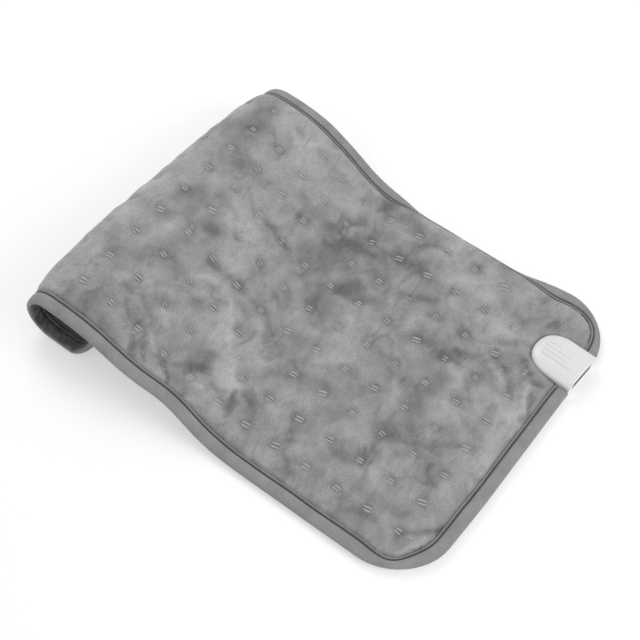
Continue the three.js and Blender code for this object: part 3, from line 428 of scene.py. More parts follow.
def drape_piece(piece, side):
    """Keeps the flat places as an attribute, lays the piece over the roll and flattens what it rests on."""
    flat = coordinates(piece.data)
    keep_values(piece, "flat_place", np.column_stack([flat[:, :2], np.full(len(flat), side)]))
    laid = drape(*flat.T)
    laid[:, 2] = np.maximum(laid[:, 2], rest_level)
    move_mirrored(piece, laid)


def shade_smooth(piece, angle=math.radians(180)):
    """Smooth shading, with edges sharper than the angle left crisp."""
    piece.data.shade_smooth()
    if angle < math.pi:
        piece.data.set_sharp_from_angle(angle=angle)


def finish_piece(piece, material, slot, *nodes):
    """Gives a piece its finish, its body and the solids that it stands for."""
    piece.data.materials.clear()
    piece.data.materials.append(material)
    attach(piece, "root")
    if nodes:
        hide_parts(*nodes)
    print(piece.name, "has", len(piece.data.polygons), "faces")


# %% [markdown]
# ## Helpers for finishes
# Every finish is one Principled shader fed by a few procedural textures. A value that is the same all
# over is set on the shader's own socket. Patterns on cloth read the flat place, which is stored in
# metres, so their scale is a real one: a noise scale of 400 has features of a few millimetres.

# %% Material helpers
# The colour that painted shade darkens the cloth towards
deep_shade = (0.03, 0.03, 0.032, 1)


class Finish:
    """A material under construction, with short calls for its texture nodes."""

    def __init__(self, name, **sockets):
        self.material = bpy.data.materials.new(name)
        self.material.use_nodes = True
        self.tree = self.material.node_tree
        self.shader = self.tree.nodes["Principled BSDF"]
        for socket, value in sockets.items():
            self.shader.inputs[socket.replace("_", " ").title().replace("Ior", "IOR")].default_value = value

    def node(self, kind, inputs=None, **settings):
        node = self.tree.nodes.new("ShaderNode" + kind)
        for setting, value in settings.items():
            setattr(node, setting, value)
        for socket, value in (inputs or {}).items():
            if isinstance(value, bpy.types.NodeSocket):
                self.tree.links.new(value, node.inputs[socket])
            else:
                node.inputs[socket].default_value = value
        return node

    def attribute(self, name, output="Fac"):
        return self.node("Attribute", attribute_name=name).outputs[output]

    def flat_place(self):
        return self.attribute("flat_place", "Vector")

    def object_place(self):
        return self.node("TexCoord").outputs["Object"]

    def stretched(self, vector, scale, turn=0.0):
        inputs = {"Vector": vector, "Scale": scale, "Rotation": (0, 0, turn)}
        return self.node("Mapping", inputs).outputs["Vector"]

    def noise(self, vector, scale, detail=2.0, roughness=0.5, distortion=0.0):
        inputs = {"Vector": vector, "Scale": scale, "Detail": detail, "Roughness": roughness}
        return self.node("TexNoise", {**inputs, "Distortion": distortion}).outputs["Fac"]

    def math(self, operation, first, second):
        return self.node("Math", {0: first, 1: second}, operation=operation).outputs[0]

    def ramp(self, value, *stops):
        """A colour ramp through (place, grey) or (place, (r, g, b)) stops."""
        node = self.node("ValToRGB", {"Fac": value})
        elements = node.color_ramp.elements
        while len(elements) < len(stops):
            elements.new(0.5)
        for element, (place, colour) in zip(elements, stops):
            element.position = place
            element.color = (*(colour if isinstance(colour, tuple) else (colour,) * 3), 1)
        return node.outputs["Color"]

    def mix(self, factor, first, second, blend="MIX"):
        node = self.node("Mix", data_type="RGBA", blend_type=blend)
        for socket, value in (("Factor", factor), ("A", first), ("B", second)):
            target = [entry for entry in node.inputs if entry.name == socket and entry.enabled][0]
            if isinstance(value, bpy.types.NodeSocket):
                self.tree.links.new(value, target)
            else:
                target.default_value = value
        return [entry for entry in node.outputs if entry.enabled][0]

    def colour(self, value):
        self.tree.links.new(value, self.shader.inputs["Base Color"])

    def cloth_colour(self, tone):
        """The tone, darkened towards deep_shade by the painted shade that each piece keeps."""
        self.colour(self.mix(self.attribute("painted_shade"), tone, deep_shade))

    def rough(self, value):
        self.tree.links.new(value, self.shader.inputs["Roughness"])

    def bump(self, height, distance, strength=1.0):
        node = self.node("Bump", {"Height": height, "Distance": distance, "Strength": strength})
        last = self.shader.inputs["Normal"]
        if last.is_linked:
            self.tree.links.new(last.links[0].from_socket, node.inputs["Normal"])
        self.tree.links.new(node.outputs["Normal"], last)


# %% [markdown]
# ### Plush
# The cover is a short soft pile. Where a hand has brushed the pile one way it looks lighter, and the
# other way darker, so the cloth shows soft cloudy patches with no pattern to them. Broad noise gives the
# patches, a narrower one the strokes of brushing, a finer one the clumps of pile and the finest the pile
# itself. Thin bent lines stand for small creases, with bumps and with painted shade along them. A
# little sheen lights the pile where it turns away.

# %% Plush finish


def plush_finish(name):
    finish = Finish(name, roughness=0.9, specular_ior_level=0.12, sheen_weight=0.25, sheen_roughness=0.45)
    place = finish.flat_place()
    clouds = finish.noise(finish.stretched(place, (1, 1.35, 1), 0.5), 17, 3.0, 0.5, 0.7)
    streaks = finish.noise(finish.stretched(place, (1, 0.6, 1), -0.75), 62, 3.0, 0.5, 0.8)
    clumps = finish.noise(finish.stretched(place, (1, 0.75, 1), 0.9), 210, 3.0, 0.6, 0.4)
    pile = finish.noise(place, 900, 2.0, 0.6)
    bent = finish.noise(finish.stretched(place, (1, 0.55, 1), -0.6), 36, 2.0, 0.5, 1.6)
    off_line = finish.math("ABSOLUTE", finish.math("SUBTRACT", bent, 0.5), 0)
    line = finish.ramp(off_line, (0.0, 1.0), (0.075, 0.0))
    where = finish.ramp(finish.noise(place, 30, 2.0), (0.52, 0.0), (0.62, 1.0))
    crease_and_shade = finish.math("MULTIPLY", line, where)
    brushed = finish.math("ADD", finish.math("MULTIPLY", clouds, 0.5), finish.math("MULTIPLY", streaks, 0.3))
    # Lighter or darker pile from the folds: partly brushed pile, partly painted shade and painted light
    brushed = finish.math("ADD", brushed, finish.math("MULTIPLY", finish.attribute("nap_and_painted_light"), 0.17))
    # Painted shade along the thin creases
    brushed = finish.math("SUBTRACT", brushed, finish.math("MULTIPLY", crease_and_shade, 0.07))
    tone = finish.ramp(brushed, (0.2, 0.13), (0.37, 0.255), (0.45, 0.31), (0.65, 0.43))
    tone = finish.mix(0.35, tone, finish.ramp(clumps, (0.3, 0.38), (0.7, 0.62)), "OVERLAY")
    tone = finish.mix(0.62, tone, finish.ramp(pile, (0.3, 0.35), (0.7, 0.65)), "OVERLAY")
    finish.cloth_colour(tone)
    finish.bump(streaks, 1.6 * MM, 0.35)
    finish.bump(finish.math("SUBTRACT", 1.0, crease_and_shade), 0.9 * MM, 0.5)
    finish.bump(clumps, 1.0 * MM, 0.5)
    finish.bump(pile, 0.25 * MM, 0.5)
    return finish.material


plush = plush_finish("plush_pile")

# %% [markdown]
# ### Binding tape and thread
# The edge is bound with a smooth woven tape, a shade darker than the plush and with a fine grain, with
# painted shade in the seam's groove and a painted highlight on its face beside the groove. The stitches
# that hold it are darker still, and the tacks are sewn with a paler, shinier thread.

# %% Tape and thread finishes


def tape_finish():
    finish = Finish("binding_tape", roughness=0.82, specular_ior_level=0.2, sheen_weight=0.12,
                    sheen_roughness=0.4)
    place = finish.flat_place()
    weave = finish.noise(place, 750, 2.0, 0.6)
    cloud = finish.noise(place, 55, 3.0, 0.55, 0.3)
    tone = finish.ramp(cloud, (0.3, 0.215), (0.7, 0.275))
    tone = finish.mix(0.4, tone, finish.ramp(weave, (0.3, 0.36), (0.7, 0.64)), "OVERLAY")
    # Painted highlight on the tape's face beside the seam's groove
    tone = finish.mix(finish.math("MULTIPLY", finish.attribute("groove_highlight"), 0.2), tone, (0.36, 0.36, 0.36, 1))
    finish.cloth_colour(tone)
    finish.bump(weave, 0.3 * MM, 0.5)
    return finish.material


def thread_finish(name, grey, roughness):
    finish = Finish(name, roughness=roughness, specular_ior_level=0.4)
    ply = finish.noise(finish.object_place(), 2600, 2.0, 0.6)
    finish.colour(finish.ramp(ply, (0.3, grey * 0.75), (0.7, grey * 1.2)))
    finish.bump(ply, 0.08 * MM, 0.6)
    return finish.material


tape = tape_finish()
tack_thread = thread_finish("tack_thread", 0.38, 0.65)
shade_thread = thread_finish("shade_thread", 0.13, 0.8)
seam_thread = thread_finish("seam_thread", 0.075, 0.6)

# %% [markdown]
# ### The hard parts and the inside
# The housing is white moulded plastic with a fine satin gloss. Inside the pad lie needled felt, rubber
# covered wire and small metal parts, which show only when the pad is opened, but each has its finish.

# %% Hard and inner finishes


def moulded_finish(name, colour, roughness, grain):
    finish = Finish(name, specular_ior_level=0.5)
    place = finish.object_place()
    spark = finish.noise(place, 3200, 2.0, 0.5)
    cloud = finish.noise(place, 60, 3.0, 0.5)
    light = tuple(min(1.0, channel * 1.03) for channel in colour)
    finish.colour(finish.ramp(cloud, (0.3, colour), (0.7, light)))
    finish.rough(finish.ramp(cloud, (0.3, roughness), (0.7, roughness * 1.3)))
    finish.bump(spark, grain, 0.5)
    return finish.material


def felt_finish(name, light, dark, scale):
    finish = Finish(name, roughness=0.95, specular_ior_level=0.1, sheen_weight=0.2)
    fibres = finish.noise(finish.stretched(finish.flat_place(), (1, 2.5, 1), 0.4), scale, 4.0, 0.7, 1.5)
    finish.colour(finish.ramp(fibres, (0.3, dark), (0.7, light)))
    finish.bump(fibres, 0.3 * MM, 0.8)
    return finish.material


def metal_finish(name, colour, roughness):
    finish = Finish(name, metallic=1.0)
    scratches = finish.noise(finish.stretched(finish.object_place(), (1, 6, 1)), 1400, 3.0, 0.6)
    finish.colour(finish.ramp(scratches, (0.3, tuple(c * 0.85 for c in colour)), (0.7, colour)))
    finish.rough(finish.ramp(scratches, (0.3, roughness), (0.7, roughness * 1.6)))
    finish.bump(scratches, 0.02 * MM, 0.4)
    return finish.material


white_plastic = moulded_finish("white_plastic", (0.67, 0.675, 0.685), 0.32, 0.015 * MM)
socket_plastic = moulded_finish("socket_plastic", (0.03, 0.03, 0.032), 0.5, 0.04 * MM)
silicone = moulded_finish("wire_silicone", (0.48, 0.06, 0.03), 0.55, 0.03 * MM)
sheath = moulded_finish("lead_sheath", (0.69, 0.66, 0.58), 0.5, 0.02 * MM)
felt = felt_finish("wadding_felt", (0.8, 0.79, 0.75), (0.6, 0.59, 0.55), 900)
scrim = felt_finish("carrier_scrim", (0.74, 0.74, 0.72), (0.5, 0.5, 0.48), 1600)
tinned = metal_finish("tinned_contact", (0.62, 0.57, 0.45), 0.3)
steel = metal_finish("screw_steel", (0.45, 0.46, 0.47), 0.32)

# %% [markdown]
# ## The covers as a flat pattern
# A cover is a grid of squares that fills a rounded rectangle. Squeezing the grid's four square corners
# into quarter discs keeps it one sheet of even quads. The outer face needs small quads for its creases.
# The inner face, which nothing shows, has one quad for nine, and a rim of longer faces joins the two.

# %% The flat grid
cover_edge = 1.7 * MM
groove_place = 12.7 * MM
inner_stride = 3
wave_cells = 64


def flat_grid(columns, rows, inset):
    """Flat places of a grid, with its corners pressed round: two arrays (columns, rows)."""
    along, across = np.meshgrid(np.linspace(inset, pad_length - inset, columns),
                                np.linspace(inset - half_width, half_width - inset, rows), indexing="ij")
    reach = corner_radius - inset
    centre_along = np.clip(along, corner_radius, pad_length - corner_radius)
    centre_across = np.clip(across, corner_radius - half_width, half_width - corner_radius)
    a, b = (along - centre_along) / reach, (across - centre_across) / reach
    along = centre_along + reach * a * np.sqrt(1 - b * b / 2)
    across = centre_across + reach * b * np.sqrt(1 - a * a / 2)
    return along, across


def carry_over(coarse, fine):
    """Weights that carry values at evenly spaced places over to more places, smoothly."""
    place = np.linspace(0, coarse - 1, fine)
    base = np.clip(place.astype(int), 0, coarse - 2)
    t = place - base
    weights = [(-t + 2 * t**2 - t**3) / 2, (2 - 5 * t**2 + 3 * t**3) / 2,
               (t + 4 * t**2 - 3 * t**3) / 2, (t**3 - t**2) / 2]
    matrix = np.zeros((fine, coarse))
    for shift, weight in zip((-1, 0, 1, 2), weights):
        np.add.at(matrix, (np.arange(fine), np.clip(base + shift, 0, coarse - 1)), weight)
    return matrix


def cloudy(along, across, size, seed, stretch=1.0, turn=0.0):
    """Smooth random waves between -1 and 1, with features of about the given size."""
    lattice = np.random.default_rng(seed).uniform(-1, 1, (wave_cells, wave_cells))
    u = (along * math.cos(turn) + across * math.sin(turn)) / (size * stretch)
    v = (across * math.cos(turn) - along * math.sin(turn)) / size
    i, j = np.floor(u).astype(int), np.floor(v).astype(int)
    a, b = smooth(u - i, 0, 1), smooth(v - j, 0, 1)
    corners = [[lattice[(i + k) % wave_cells, (j + m) % wave_cells] for k in (0, 1)] for m in (0, 1)]
    low, high = (first * (1 - a) + second * a for first, second in corners)
    return low * (1 - b) + high * b


def from_tack(along, across):
    """Distance along and across from each flat place to its nearest tack."""
    column = np.clip(np.round((along - end_margin) / tack_pitch_along), 0, tack_columns - 1)
    row = np.clip(np.round((across + outer_row) / tack_pitch_across), 0, tack_rows - 1)
    return along - end_margin - column * tack_pitch_along, across + outer_row - row * tack_pitch_across


def near_tack(along, across, half_long, half_wide):
    """1 at every tack, fading out round it."""
    off_along, off_across = from_tack(along, across)
    return np.exp(-((off_along / half_long) ** 2) - (off_across / half_wide) ** 2)


# %% [markdown]
# ## The padding, by cloth simulation
# Where the plush stands up and how it creases between the tacks is hard to draw and easy to simulate.
# The cloth is made a little too large, pinned at every tack and at the hem, and blown up from below.
# It buckles into soft ridges that run from tack to tack. The result is kept as a displacement of the
# flat pattern, its rise scaled down by calm_share, and carried over to the fine grid.

# %% Simulate the quilted cloth
puff_spacing = 3.6 * MM
puff_columns, puff_rows = int(pad_length / puff_spacing) + 1, int(2 * half_width / puff_spacing) + 1
puff_steps = 20
ripple_height, ripple_size = 0.5 * MM, 11 * MM
puff_limit, shift_limit = 3.4 * MM, 1 * MM
calm_share = 0.6
pin_radius = 3.4 * MM
cloth_settings = {
    "quality": 6, "mass": 0.25, "tension_stiffness": 18, "compression_stiffness": 18, "shear_stiffness": 8,
    "bending_stiffness": 0.35, "use_pressure": True, "uniform_pressure_force": 6, "shrink_min": -0.035,
    "vertex_group_mass": "sewn",
}


def simulate_puff():
    """How far the cloth moves when it is blown up between its tacks: an array (columns, rows, 3)."""
    along, across = flat_grid(puff_columns, puff_rows, cover_edge)
    flat = np.stack([along, across, np.zeros_like(along)], axis=2)
    start = flat.copy()
    start[:, :, 2] = ripple_height * cloudy(along, across, ripple_size, 3)
    cloth = new_piece("cloth_trial", start.reshape(-1, 3), grid_faces(puff_columns, puff_rows))
    pinned = np.maximum(np.hypot(*from_tack(along, across)) < pin_radius / 2 + puff_spacing / 3,
                        inset_of(along, across) < groove_place)
    group = cloth.vertex_groups.new(name="sewn")
    group.add([int(index) for index in np.flatnonzero(pinned.ravel())], 1.0, "REPLACE")
    modifier = cloth.modifiers.new("cloth", "CLOTH")
    for setting, value in cloth_settings.items():
        setattr(modifier.settings, setting, value)
    modifier.settings.effector_weights.gravity = 0
    modifier.point_cache.frame_start = 1
    modifier.point_cache.frame_end = puff_steps
    for step in range(1, puff_steps + 1):
        bpy.context.scene.frame_set(step)
    moved = coordinates(evaluated_mesh(cloth))
    bpy.context.scene.frame_set(1)
    bpy.data.objects.remove(cloth)
    return moved.reshape(puff_columns, puff_rows, 3) - flat


puff = simulate_puff()
puff[:, :, :2] = np.clip(puff[:, :, :2], -shift_limit, shift_limit)
puff[:, :, 2] = calm_share * np.clip(puff[:, :, 2], -shift_limit, puff_limit)
rises = np.percentile(puff[:, :, 2], (5, 50, 95, 100))
print("the cloth rose by", [round(float(rise) / MM, 2) for rise in rises])

# %% [markdown]
# ## Shaping the covers
# The level of the plush at each flat place is put together like a list: the rounded shoulder beside the
# binding, the simulated puff, a soft dent round each tack, and the unevenness of a thing that is folded
# and handled: slow waves and soft random folds, and the larger folds that can be picked out one by one.
# Over the crest of the roll the cloth is drawn taut, and beside the housing it is tucked down. Each fold
# also has a shade: partly pile brushed lighter or darker, and partly painted shade in the hollows and
# painted light on the ridges, on the slope and on the crest of the roll. The underside gets the same
# list, pressed flatter by the pad's weight.

# %% Shape of the plush
shoulder_reach = 8 * MM
plush_base = crown_level - 0.6 * MM
tack_depth, tack_reach = 1.5 * MM, (5.2 * MM, 3.6 * MM)
dent_depth, dent_reach = 0.9 * MM, (10 * MM, 10 * MM)
tuck_depth, tuck_reach = 1.8 * MM, 3 * MM
taut_share, taut_run = 0.65, (crest_start - 25 * MM, crest_start + 5 * MM)
wave_height, wave_size = 0.6 * MM, 46 * MM
pucker_height, pucker_radius, pucker_width = 0.3 * MM, 6 * MM, 3 * MM
calm_reach = (6 * MM, 6 * MM)
fold_height, fold_shade = 0.13 * MM, 0.1

# Random folds: size in mm, seed, stretch, turn, height in mm and shade, which paints their hollows
# darker and their tops lighter
random_folds = [(12, 33, 2.2, -0.5, 0.7, 0.35), (8, 34, 1.8, 0.6, 0.45, 0.2)]

# Single folds and patches: start (along, across), end and half width in mm, height and shade in steps of
# fold_height and fold_shade. The shade is partly brushed pile and partly painted shade and painted light.
folds = [
    (284, -126, 273, -139, 2.3, -12, -9), (274, -121, 264, -135, 2.3, -8, -7),
    (254, -123, 237, -136, 2.3, -12, -9), (242, -115, 228, -100, 5.5, -2, -8),
    (198, -103, 190, -123, 2.7, -9, -10), (189, -97, 182, -99, 5.5, -5, -10),
    (243, -39, 225, -55, 2.7, -5, -4), (129, -130, 146, -105, 3.6, -3, -5),
    (285, -33, 268, -31, 3.2, -8, -7), (256, -28, 242, -30, 4.5, -5, -5), (284, -67, 268, -67, 5.5, -3, -6),
    (300, -97, 284, -105, 3.2, -8, -6), (308, -109, 297, -118, 2.3, -6, -5),
    (302, -78, 296, -88, 2.7, -6, -4), (318, -102, 310, -102, 2.7, -6, -5),
    (308, -57, 294, -57, 2.3, -7, -4), (303, 35, 290, 24, 2.3, -6, -5), (278, 30, 249, 29, 3.2, -8, -7),
    (340, -4, 322, 14, 9, 0, -7), (334, 60, 348, 111, 9, 0, -6), (308, -13, 300, -13, 4.5, -3, -7),
    (239, 72, 222, 98, 5.5, -4, -8), (216, 123, 212, 140, 5.5, -4, -8), (168, 108, 158, 116, 4.5, -3, -9),
    (225, 69, 173, 84, 12.7, 0, -5), (141, 65, 132, 68, 4.5, -3, -7), (122, 77, 124, 89, 2.7, -6, -5),
    (92, 44, 82, 32, 2.7, -5, -5), (68, 102, 62, 102, 3.6, -3, -6), (60, 129, 51, 119, 4.5, -4, -6),
    (48, 50, 34, 32, 3.2, -5, -7), (42, 68, 33, 60, 3.6, -8, -8), (28, 54, 21, 57, 2.3, -8, -8),
    (20, 41, 15, 20, 3.2, -10, -9), (93, -52, 81, -58, 11, 0, -6), (66, -63, 50, -43, 7.3, 0, -4),
    (76, -127, 72, -124, 3.6, -3, -5), (18, -106, 14, -97, 4.5, -4, -6), (56, 8, 68, 20, 2.7, -5, -4),
    (278, -112, 264, -121, 2.3, 9, 6), (290, -88, 270, -100, 2.7, 5, 5), (287, -52, 262, -37, 3.2, 9, 6),
    (258, -42, 204, -97, 4.5, 7, 7), (219, -108, 201, -99, 4.5, 3, 5), (224, -42, 207, -57, 3.6, 5, 4),
    (84, 26, 70, 14, 4.5, 6, 6), (69, -6, 48, -19, 4.5, 5, 5), (68, 53, 46, 33, 3.2, 8, 6),
    (27, 47, 20, 24, 2.7, 11, 8), (120, -1, 100, -27, 3.6, 4, 5), (27, 14, 14, -34, 7.3, 2, 5),
    (268, 89, 228, 117, 11, 0, 4), (114, 132, 72, 80, 7.3, 2, 4), (309, 104, 280, 129, 2.7, 6, 4),
    (283, -60, 280, 125, 22, 0, 4), (372, -110, 372, 100, 20, 0, 6), (190, -30, 188, 25, 14, 0, -5),
    (150, 95, 190, 95, 14, 0, -5), (178, -82, 186, -70, 12, 0, -4), (24, -72, 28, -66, 13, 0, 8),
    (58, 64, 72, 66, 10, 0, 8), (70, 122, 105, 125, 12, 0, 5), (85, -108, 125, -103, 14, 0, 4),
    (80, 35, 83, 38, 8, 0, -4), (85, -85, 95, -68, 10, 0, -4), (34, -120, 14, -99, 2.2, -9, -8),
    (26, -130, 15, -110, 2.5, 10, 7), (14, -101, 10, -93, 2.2, -6, -6), (66, -123, 57, -121, 2.5, -6, -5),
    (230, -132, 258, -118, 9, 0, -8), (285, -128, 310, -118, 7, 0, 5), (33, 33, 37, 37, 7, 0, -8),
    (78, -42, 84, -25, 10, 0, -7), (138, -118, 145, -95, 9, 0, -7), (275, 20, 310, 8, 9, 0, -6),
    (232, 30, 205, 92, 9, -2, -5), (212, 5, 190, 40, 9, -2, -4), (285, -85, 310, -98, 8, 0, -6),
    (200, -105, 215, -98, 8, 0, 5), (225, -85, 235, -75, 9, 0, 6), (296, 20, 285, -4, 9, 0, 5),
    (176, 45, 153, 44, 3.6, 4, 4), (180, 134, 112, 140, 5.5, 0, 5),
]


def near_segment(along, across, start, end, half):
    """1 on a straight stretch between two flat places, fading out beside it."""
    step = np.subtract(end, start)
    share = np.clip(((along - start[0]) * step[0] + (across - start[1]) * step[1]) / (step @ step), 0, 1)
    away = np.hypot(along - start[0] - share * step[0], across - start[1] - share * step[1])
    return np.exp(-((away / half) ** 2))


def shifted(along, across, reach, size, seed):
    """Flat places moved about at random, so that a straight line drawn there comes out bent."""
    moved = [reach * cloudy(along, across, size, seed + axis) for axis in (0, 1)]
    return along + moved[0], across + moved[1]


def unevenness(along, across):
    """Waves and folds of the plush, and its painted tone there: brushed pile, painted shade and painted
    light.
    """
    bent = shifted(along, across, 9 * MM, 38 * MM, 31)
    shaken = shifted(along, across, 2.2 * MM, 9 * MM, 37)
    lively = 0.3 + 0.7 * smooth(cloudy(along, across, 72 * MM, 36), -0.35, 0.45)
    height, nap_and_painted_light = 0, 0
    for size, seed, stretch, turn, rise, shade in random_folds:
        wave = cloudy(*bent, size * MM, seed, stretch, turn) * lively
        height, nap_and_painted_light = height + rise * MM * wave, nap_and_painted_light + shade * wave
    for *ends, half, rise, shade in folds:
        start, end = np.array(ends).reshape(2, 2) * MM
        near = near_segment(*shaken, start, end, half * MM)
        height, nap_and_painted_light = height + rise * fold_height * near, nap_and_painted_light + shade * fold_shade * near
    calm = near_tack(along, across, *calm_reach)
    off_along, off_across = from_tack(along, across)
    turn = 2 * np.arctan2(off_across, off_along) + 4 * cloudy(along, across, 33 * MM, 41)
    ring = (np.hypot(off_along, off_across) - pucker_radius) / pucker_width
    pucker = pucker_height * np.sin(turn) * np.exp(-(ring**2))
    waves = wave_height * cloudy(along, across, wave_size, 11)
    # Round each tack the cloth is painted a little darker: painted shade in the dent
    return height * (1 - 0.6 * calm) + waves + pucker, nap_and_painted_light - 0.3 * calm


def beside_housing(along, across, reach):
    """1 at the outline of the housing and over it, fading out beside it."""
    aside = across - housing_place - along * math.sin(housing_turn)
    beyond = np.clip(along - housing_straight, 0, None) / (housing_length - housing_straight)
    outside = (np.hypot(beyond, aside / housing_half) - 1) * housing_half
    return np.exp(-np.clip(outside, 0, None) / reach)


def plush_level(along, across, puffed, pressed_share):
    """Height of the plush over the middle of the pad."""
    shoulder = np.clip((inset_of(along, across) - groove_place) / shoulder_reach, 0, 1)
    taut = taut_share * smooth(along, *taut_run)
    swell = (puffed * (1 - taut) + unevenness(along, across)[0] * (1 - 0.5 * taut)) * pressed_share
    pits = tack_depth * near_tack(along, across, *tack_reach)
    dents = dent_depth * near_tack(along, across, *dent_reach)
    full = plush_base + swell - pits - dents - tuck_depth * beside_housing(along, across, tuck_reach)
    return hem_levels[1] + (full - hem_levels[1]) * np.sqrt(1 - (1 - shoulder) ** 2)


def rim_faces(outer, inner):
    """Long faces that join the outer face's edge to the inner face's, three steps to one."""
    faces = []
    for step, corner in enumerate(inner):
        edge = [outer[(step * inner_stride + k) % len(outer)] for k in range(inner_stride, -1, -1)]
        faces.append([*edge, corner, inner[(step + 1) % len(inner)]])
    return faces


def cover_piece(name, side, columns, rows, pressed_share):
    """A closed cover in the flat state: outer face, inner face and rim."""
    fine = flat_grid(columns, rows, cover_edge)
    field = np.einsum("ia,jb,abc->ijc", carry_over(puff_columns, columns), carry_over(puff_rows, rows), puff)
    if side < 0:
        field = field[:, ::-1] * (1, -1, 1)
    level = plush_level(*fine, field[:, :, 2], pressed_share)
    inside = inset_of(*fine) > groove_place + 2 * MM
    moved = [fine[axis] + field[:, :, axis] * inside for axis in (0, 1)]
    outer = np.stack([*moved, side * level], axis=2)
    coarse = [value[::inner_stride, ::inner_stride] for value in fine]
    inner_level = np.where(inset_of(*coarse) < hem_line, hem_levels[0], cover_inner)
    inner = np.stack([*coarse, side * inner_level], axis=2)
    inner_grid = (*inner.shape[:2], columns * rows)
    faces = grid_faces(columns, rows).tolist() + grid_faces(*inner_grid)[:, ::-1].tolist()
    faces += rim_faces(border(columns, rows), border(*inner_grid))
    points = np.concatenate([outer.reshape(-1, 3), inner.reshape(-1, 3)])
    return new_piece(name, points, faces if side > 0 else [face[::-1] for face in faces])


# %% [markdown]
# ## The cut round the housing
# The housing sits in a tongue-shaped opening. Its outline is a superellipse at the tip that runs into
# two straight sides. One function gives it at any offset, for the cut in the cloth and for the shells.

# %% The tongue outline
housing_squareness = 2.3
cloth_gap = 0.35 * MM
cutter_half_height = 30 * MM


def tongue_outline(inset, outer_end, steps):
    """Flat places round the housing, from one outer corner over the tip to the other."""
    half = housing_half - inset
    tip = housing_length - housing_straight - inset
    angle = np.linspace(-math.pi / 2, math.pi / 2, steps)
    power = 2 / housing_squareness
    along = housing_straight + tip * np.abs(np.cos(angle)) ** power
    across = half * np.sign(np.sin(angle)) * np.abs(np.sin(angle)) ** power
    ends = np.array([[outer_end, -half]]), np.array([[outer_end, half]])
    return np.concatenate([ends[0], np.column_stack([along, across]), ends[1]])


def housing_xy(along, across):
    """Where a place on the housing, measured along and across it, lies in the row frame."""
    turn_x, turn_y = math.cos(housing_turn), math.sin(housing_turn)
    x = offset[0] + housing_reach - along * turn_x + across * turn_y
    y = offset[1] + housing_place + along * turn_y + across * turn_x
    return x, y


def tongue_cutter(gap):
    """An upright solid that cuts the flat cloth round the housing."""
    x, y = housing_xy(*tongue_outline(-gap, -20 * MM, 48).T)
    along, across = offset[0] - x, y - offset[1]
    outline = np.column_stack([along + skew_at(along, across), across])
    return stacked_piece("cutter", [(outline, -cutter_half_height), (outline, cutter_half_height)])


# %% Make the two covers
top_columns, top_rows = 3 * 134 + 1, 3 * 67 + 1
under_columns, under_rows = 3 * 94 + 1, 3 * 47 + 1
under_share = 0.45
deep_in_roll = (crest_start + 20 * MM, roll_start + 20 * MM)
seam_shade, tack_shade, housing_shade, roll_shade = 0.5, 0.3, 0.55, 0.8
seam_shade_reach, housing_shade_reach, tack_shade_reach = 1.3 * MM, 1.2 * MM, (4.6 * MM, 2.8 * MM)


def make_cover(name, node, side, columns, rows, pressed_share):
    """A cover, cut and laid over the roll, with painted shade for its deep places kept for the finish."""
    cover = cover_piece(name, side, columns, rows, pressed_share)
    cut(cover, tongue_cutter(cloth_gap))
    along, across = coordinates(cover.data)[:, :2].T
    uneven = 1 + 0.6 * cloudy(along, across, 7 * MM, 44)
    off_seam = smooth(inset_of(along, across), groove_place, groove_place + seam_shade_reach)
    # Painted shade: in the seam's groove, round each tack, beside the housing and, underneath, deep in the
    # roll
    shades = [seam_shade * uneven * (1 - off_seam),
              tack_shade * near_tack(along, across, *tack_shade_reach),
              housing_shade * beside_housing(along, across, housing_shade_reach)]
    if side < 0:
        shades.append(roll_shade * smooth(along, *deep_in_roll))
    keep_values(cover, "painted_shade", np.clip(np.max(shades, axis=0), 0, 1))
    keep_values(cover, "nap_and_painted_light", unevenness(along, across)[1])
    drape_piece(cover, side)
    shade_smooth(cover)
    finish_piece(cover, plush, "plush", node)


make_cover("plush_top", "cover_top", 1, top_columns, top_rows, 1.0)
make_cover("plush_under", "cover_bottom", -1, under_columns, under_rows, under_share)

# %% [markdown]
# ## The binding
# The tape is one long strip folded over the hem. Its cross-section is drawn once, as places in from
# the edge and levels from the middle, and is carried round the outline. The strip ends at the housing.
# The seam presses a groove into it, and inside the groove the tape's selvedge stands up as a small lip.

# %% The folded tape
# The outer face from the selvedge to the fold: how far in from the edge, and how high, in mm
tape_line = [(12.35, 1.7), (12.45, 2.1), (12.2, 2.55), (11.75, 2.75), (11.2, 2.7), (10.8, 2.4), (10.4, 2.0),
             (9.9, 1.95), (9.4, 2.3), (8.7, 2.65), (7.0, 2.85), (5.0, 2.8), (3.1, 2.6), (1.6, 2.15),
             (0.55, 1.35), (0.1, 0.6), (0, 0)]
tape_inside = [(0.85, 0), (1.3, 1.15), (2.6, 1.6), (7.5, 1.6), (12.0, 1.6)]
# How dark the painted shade is, on the lip and most of all in the seam's groove, and how pale the
# painted highlight on the face beside the groove, at each of those places
tape_painted_shade = [0.7, 0.4, 0.1, 0.12, 0.15, 0.5, 0.95, 0.95, 0.4] + [0] * 8
tape_highlight = [0, 0, 0, 0, 0, 0, 0, 0, 0.1, 0.25, 0.1] + [0] * 6
seam_place = 10.2 * MM
path_step = 2.6 * MM
tape_overlap = 3 * MM
lip_run = (8 * MM, 12 * MM)
waver_reach, waver_lift, waver_size = 0.45 * MM, 0.25 * MM, 23 * MM


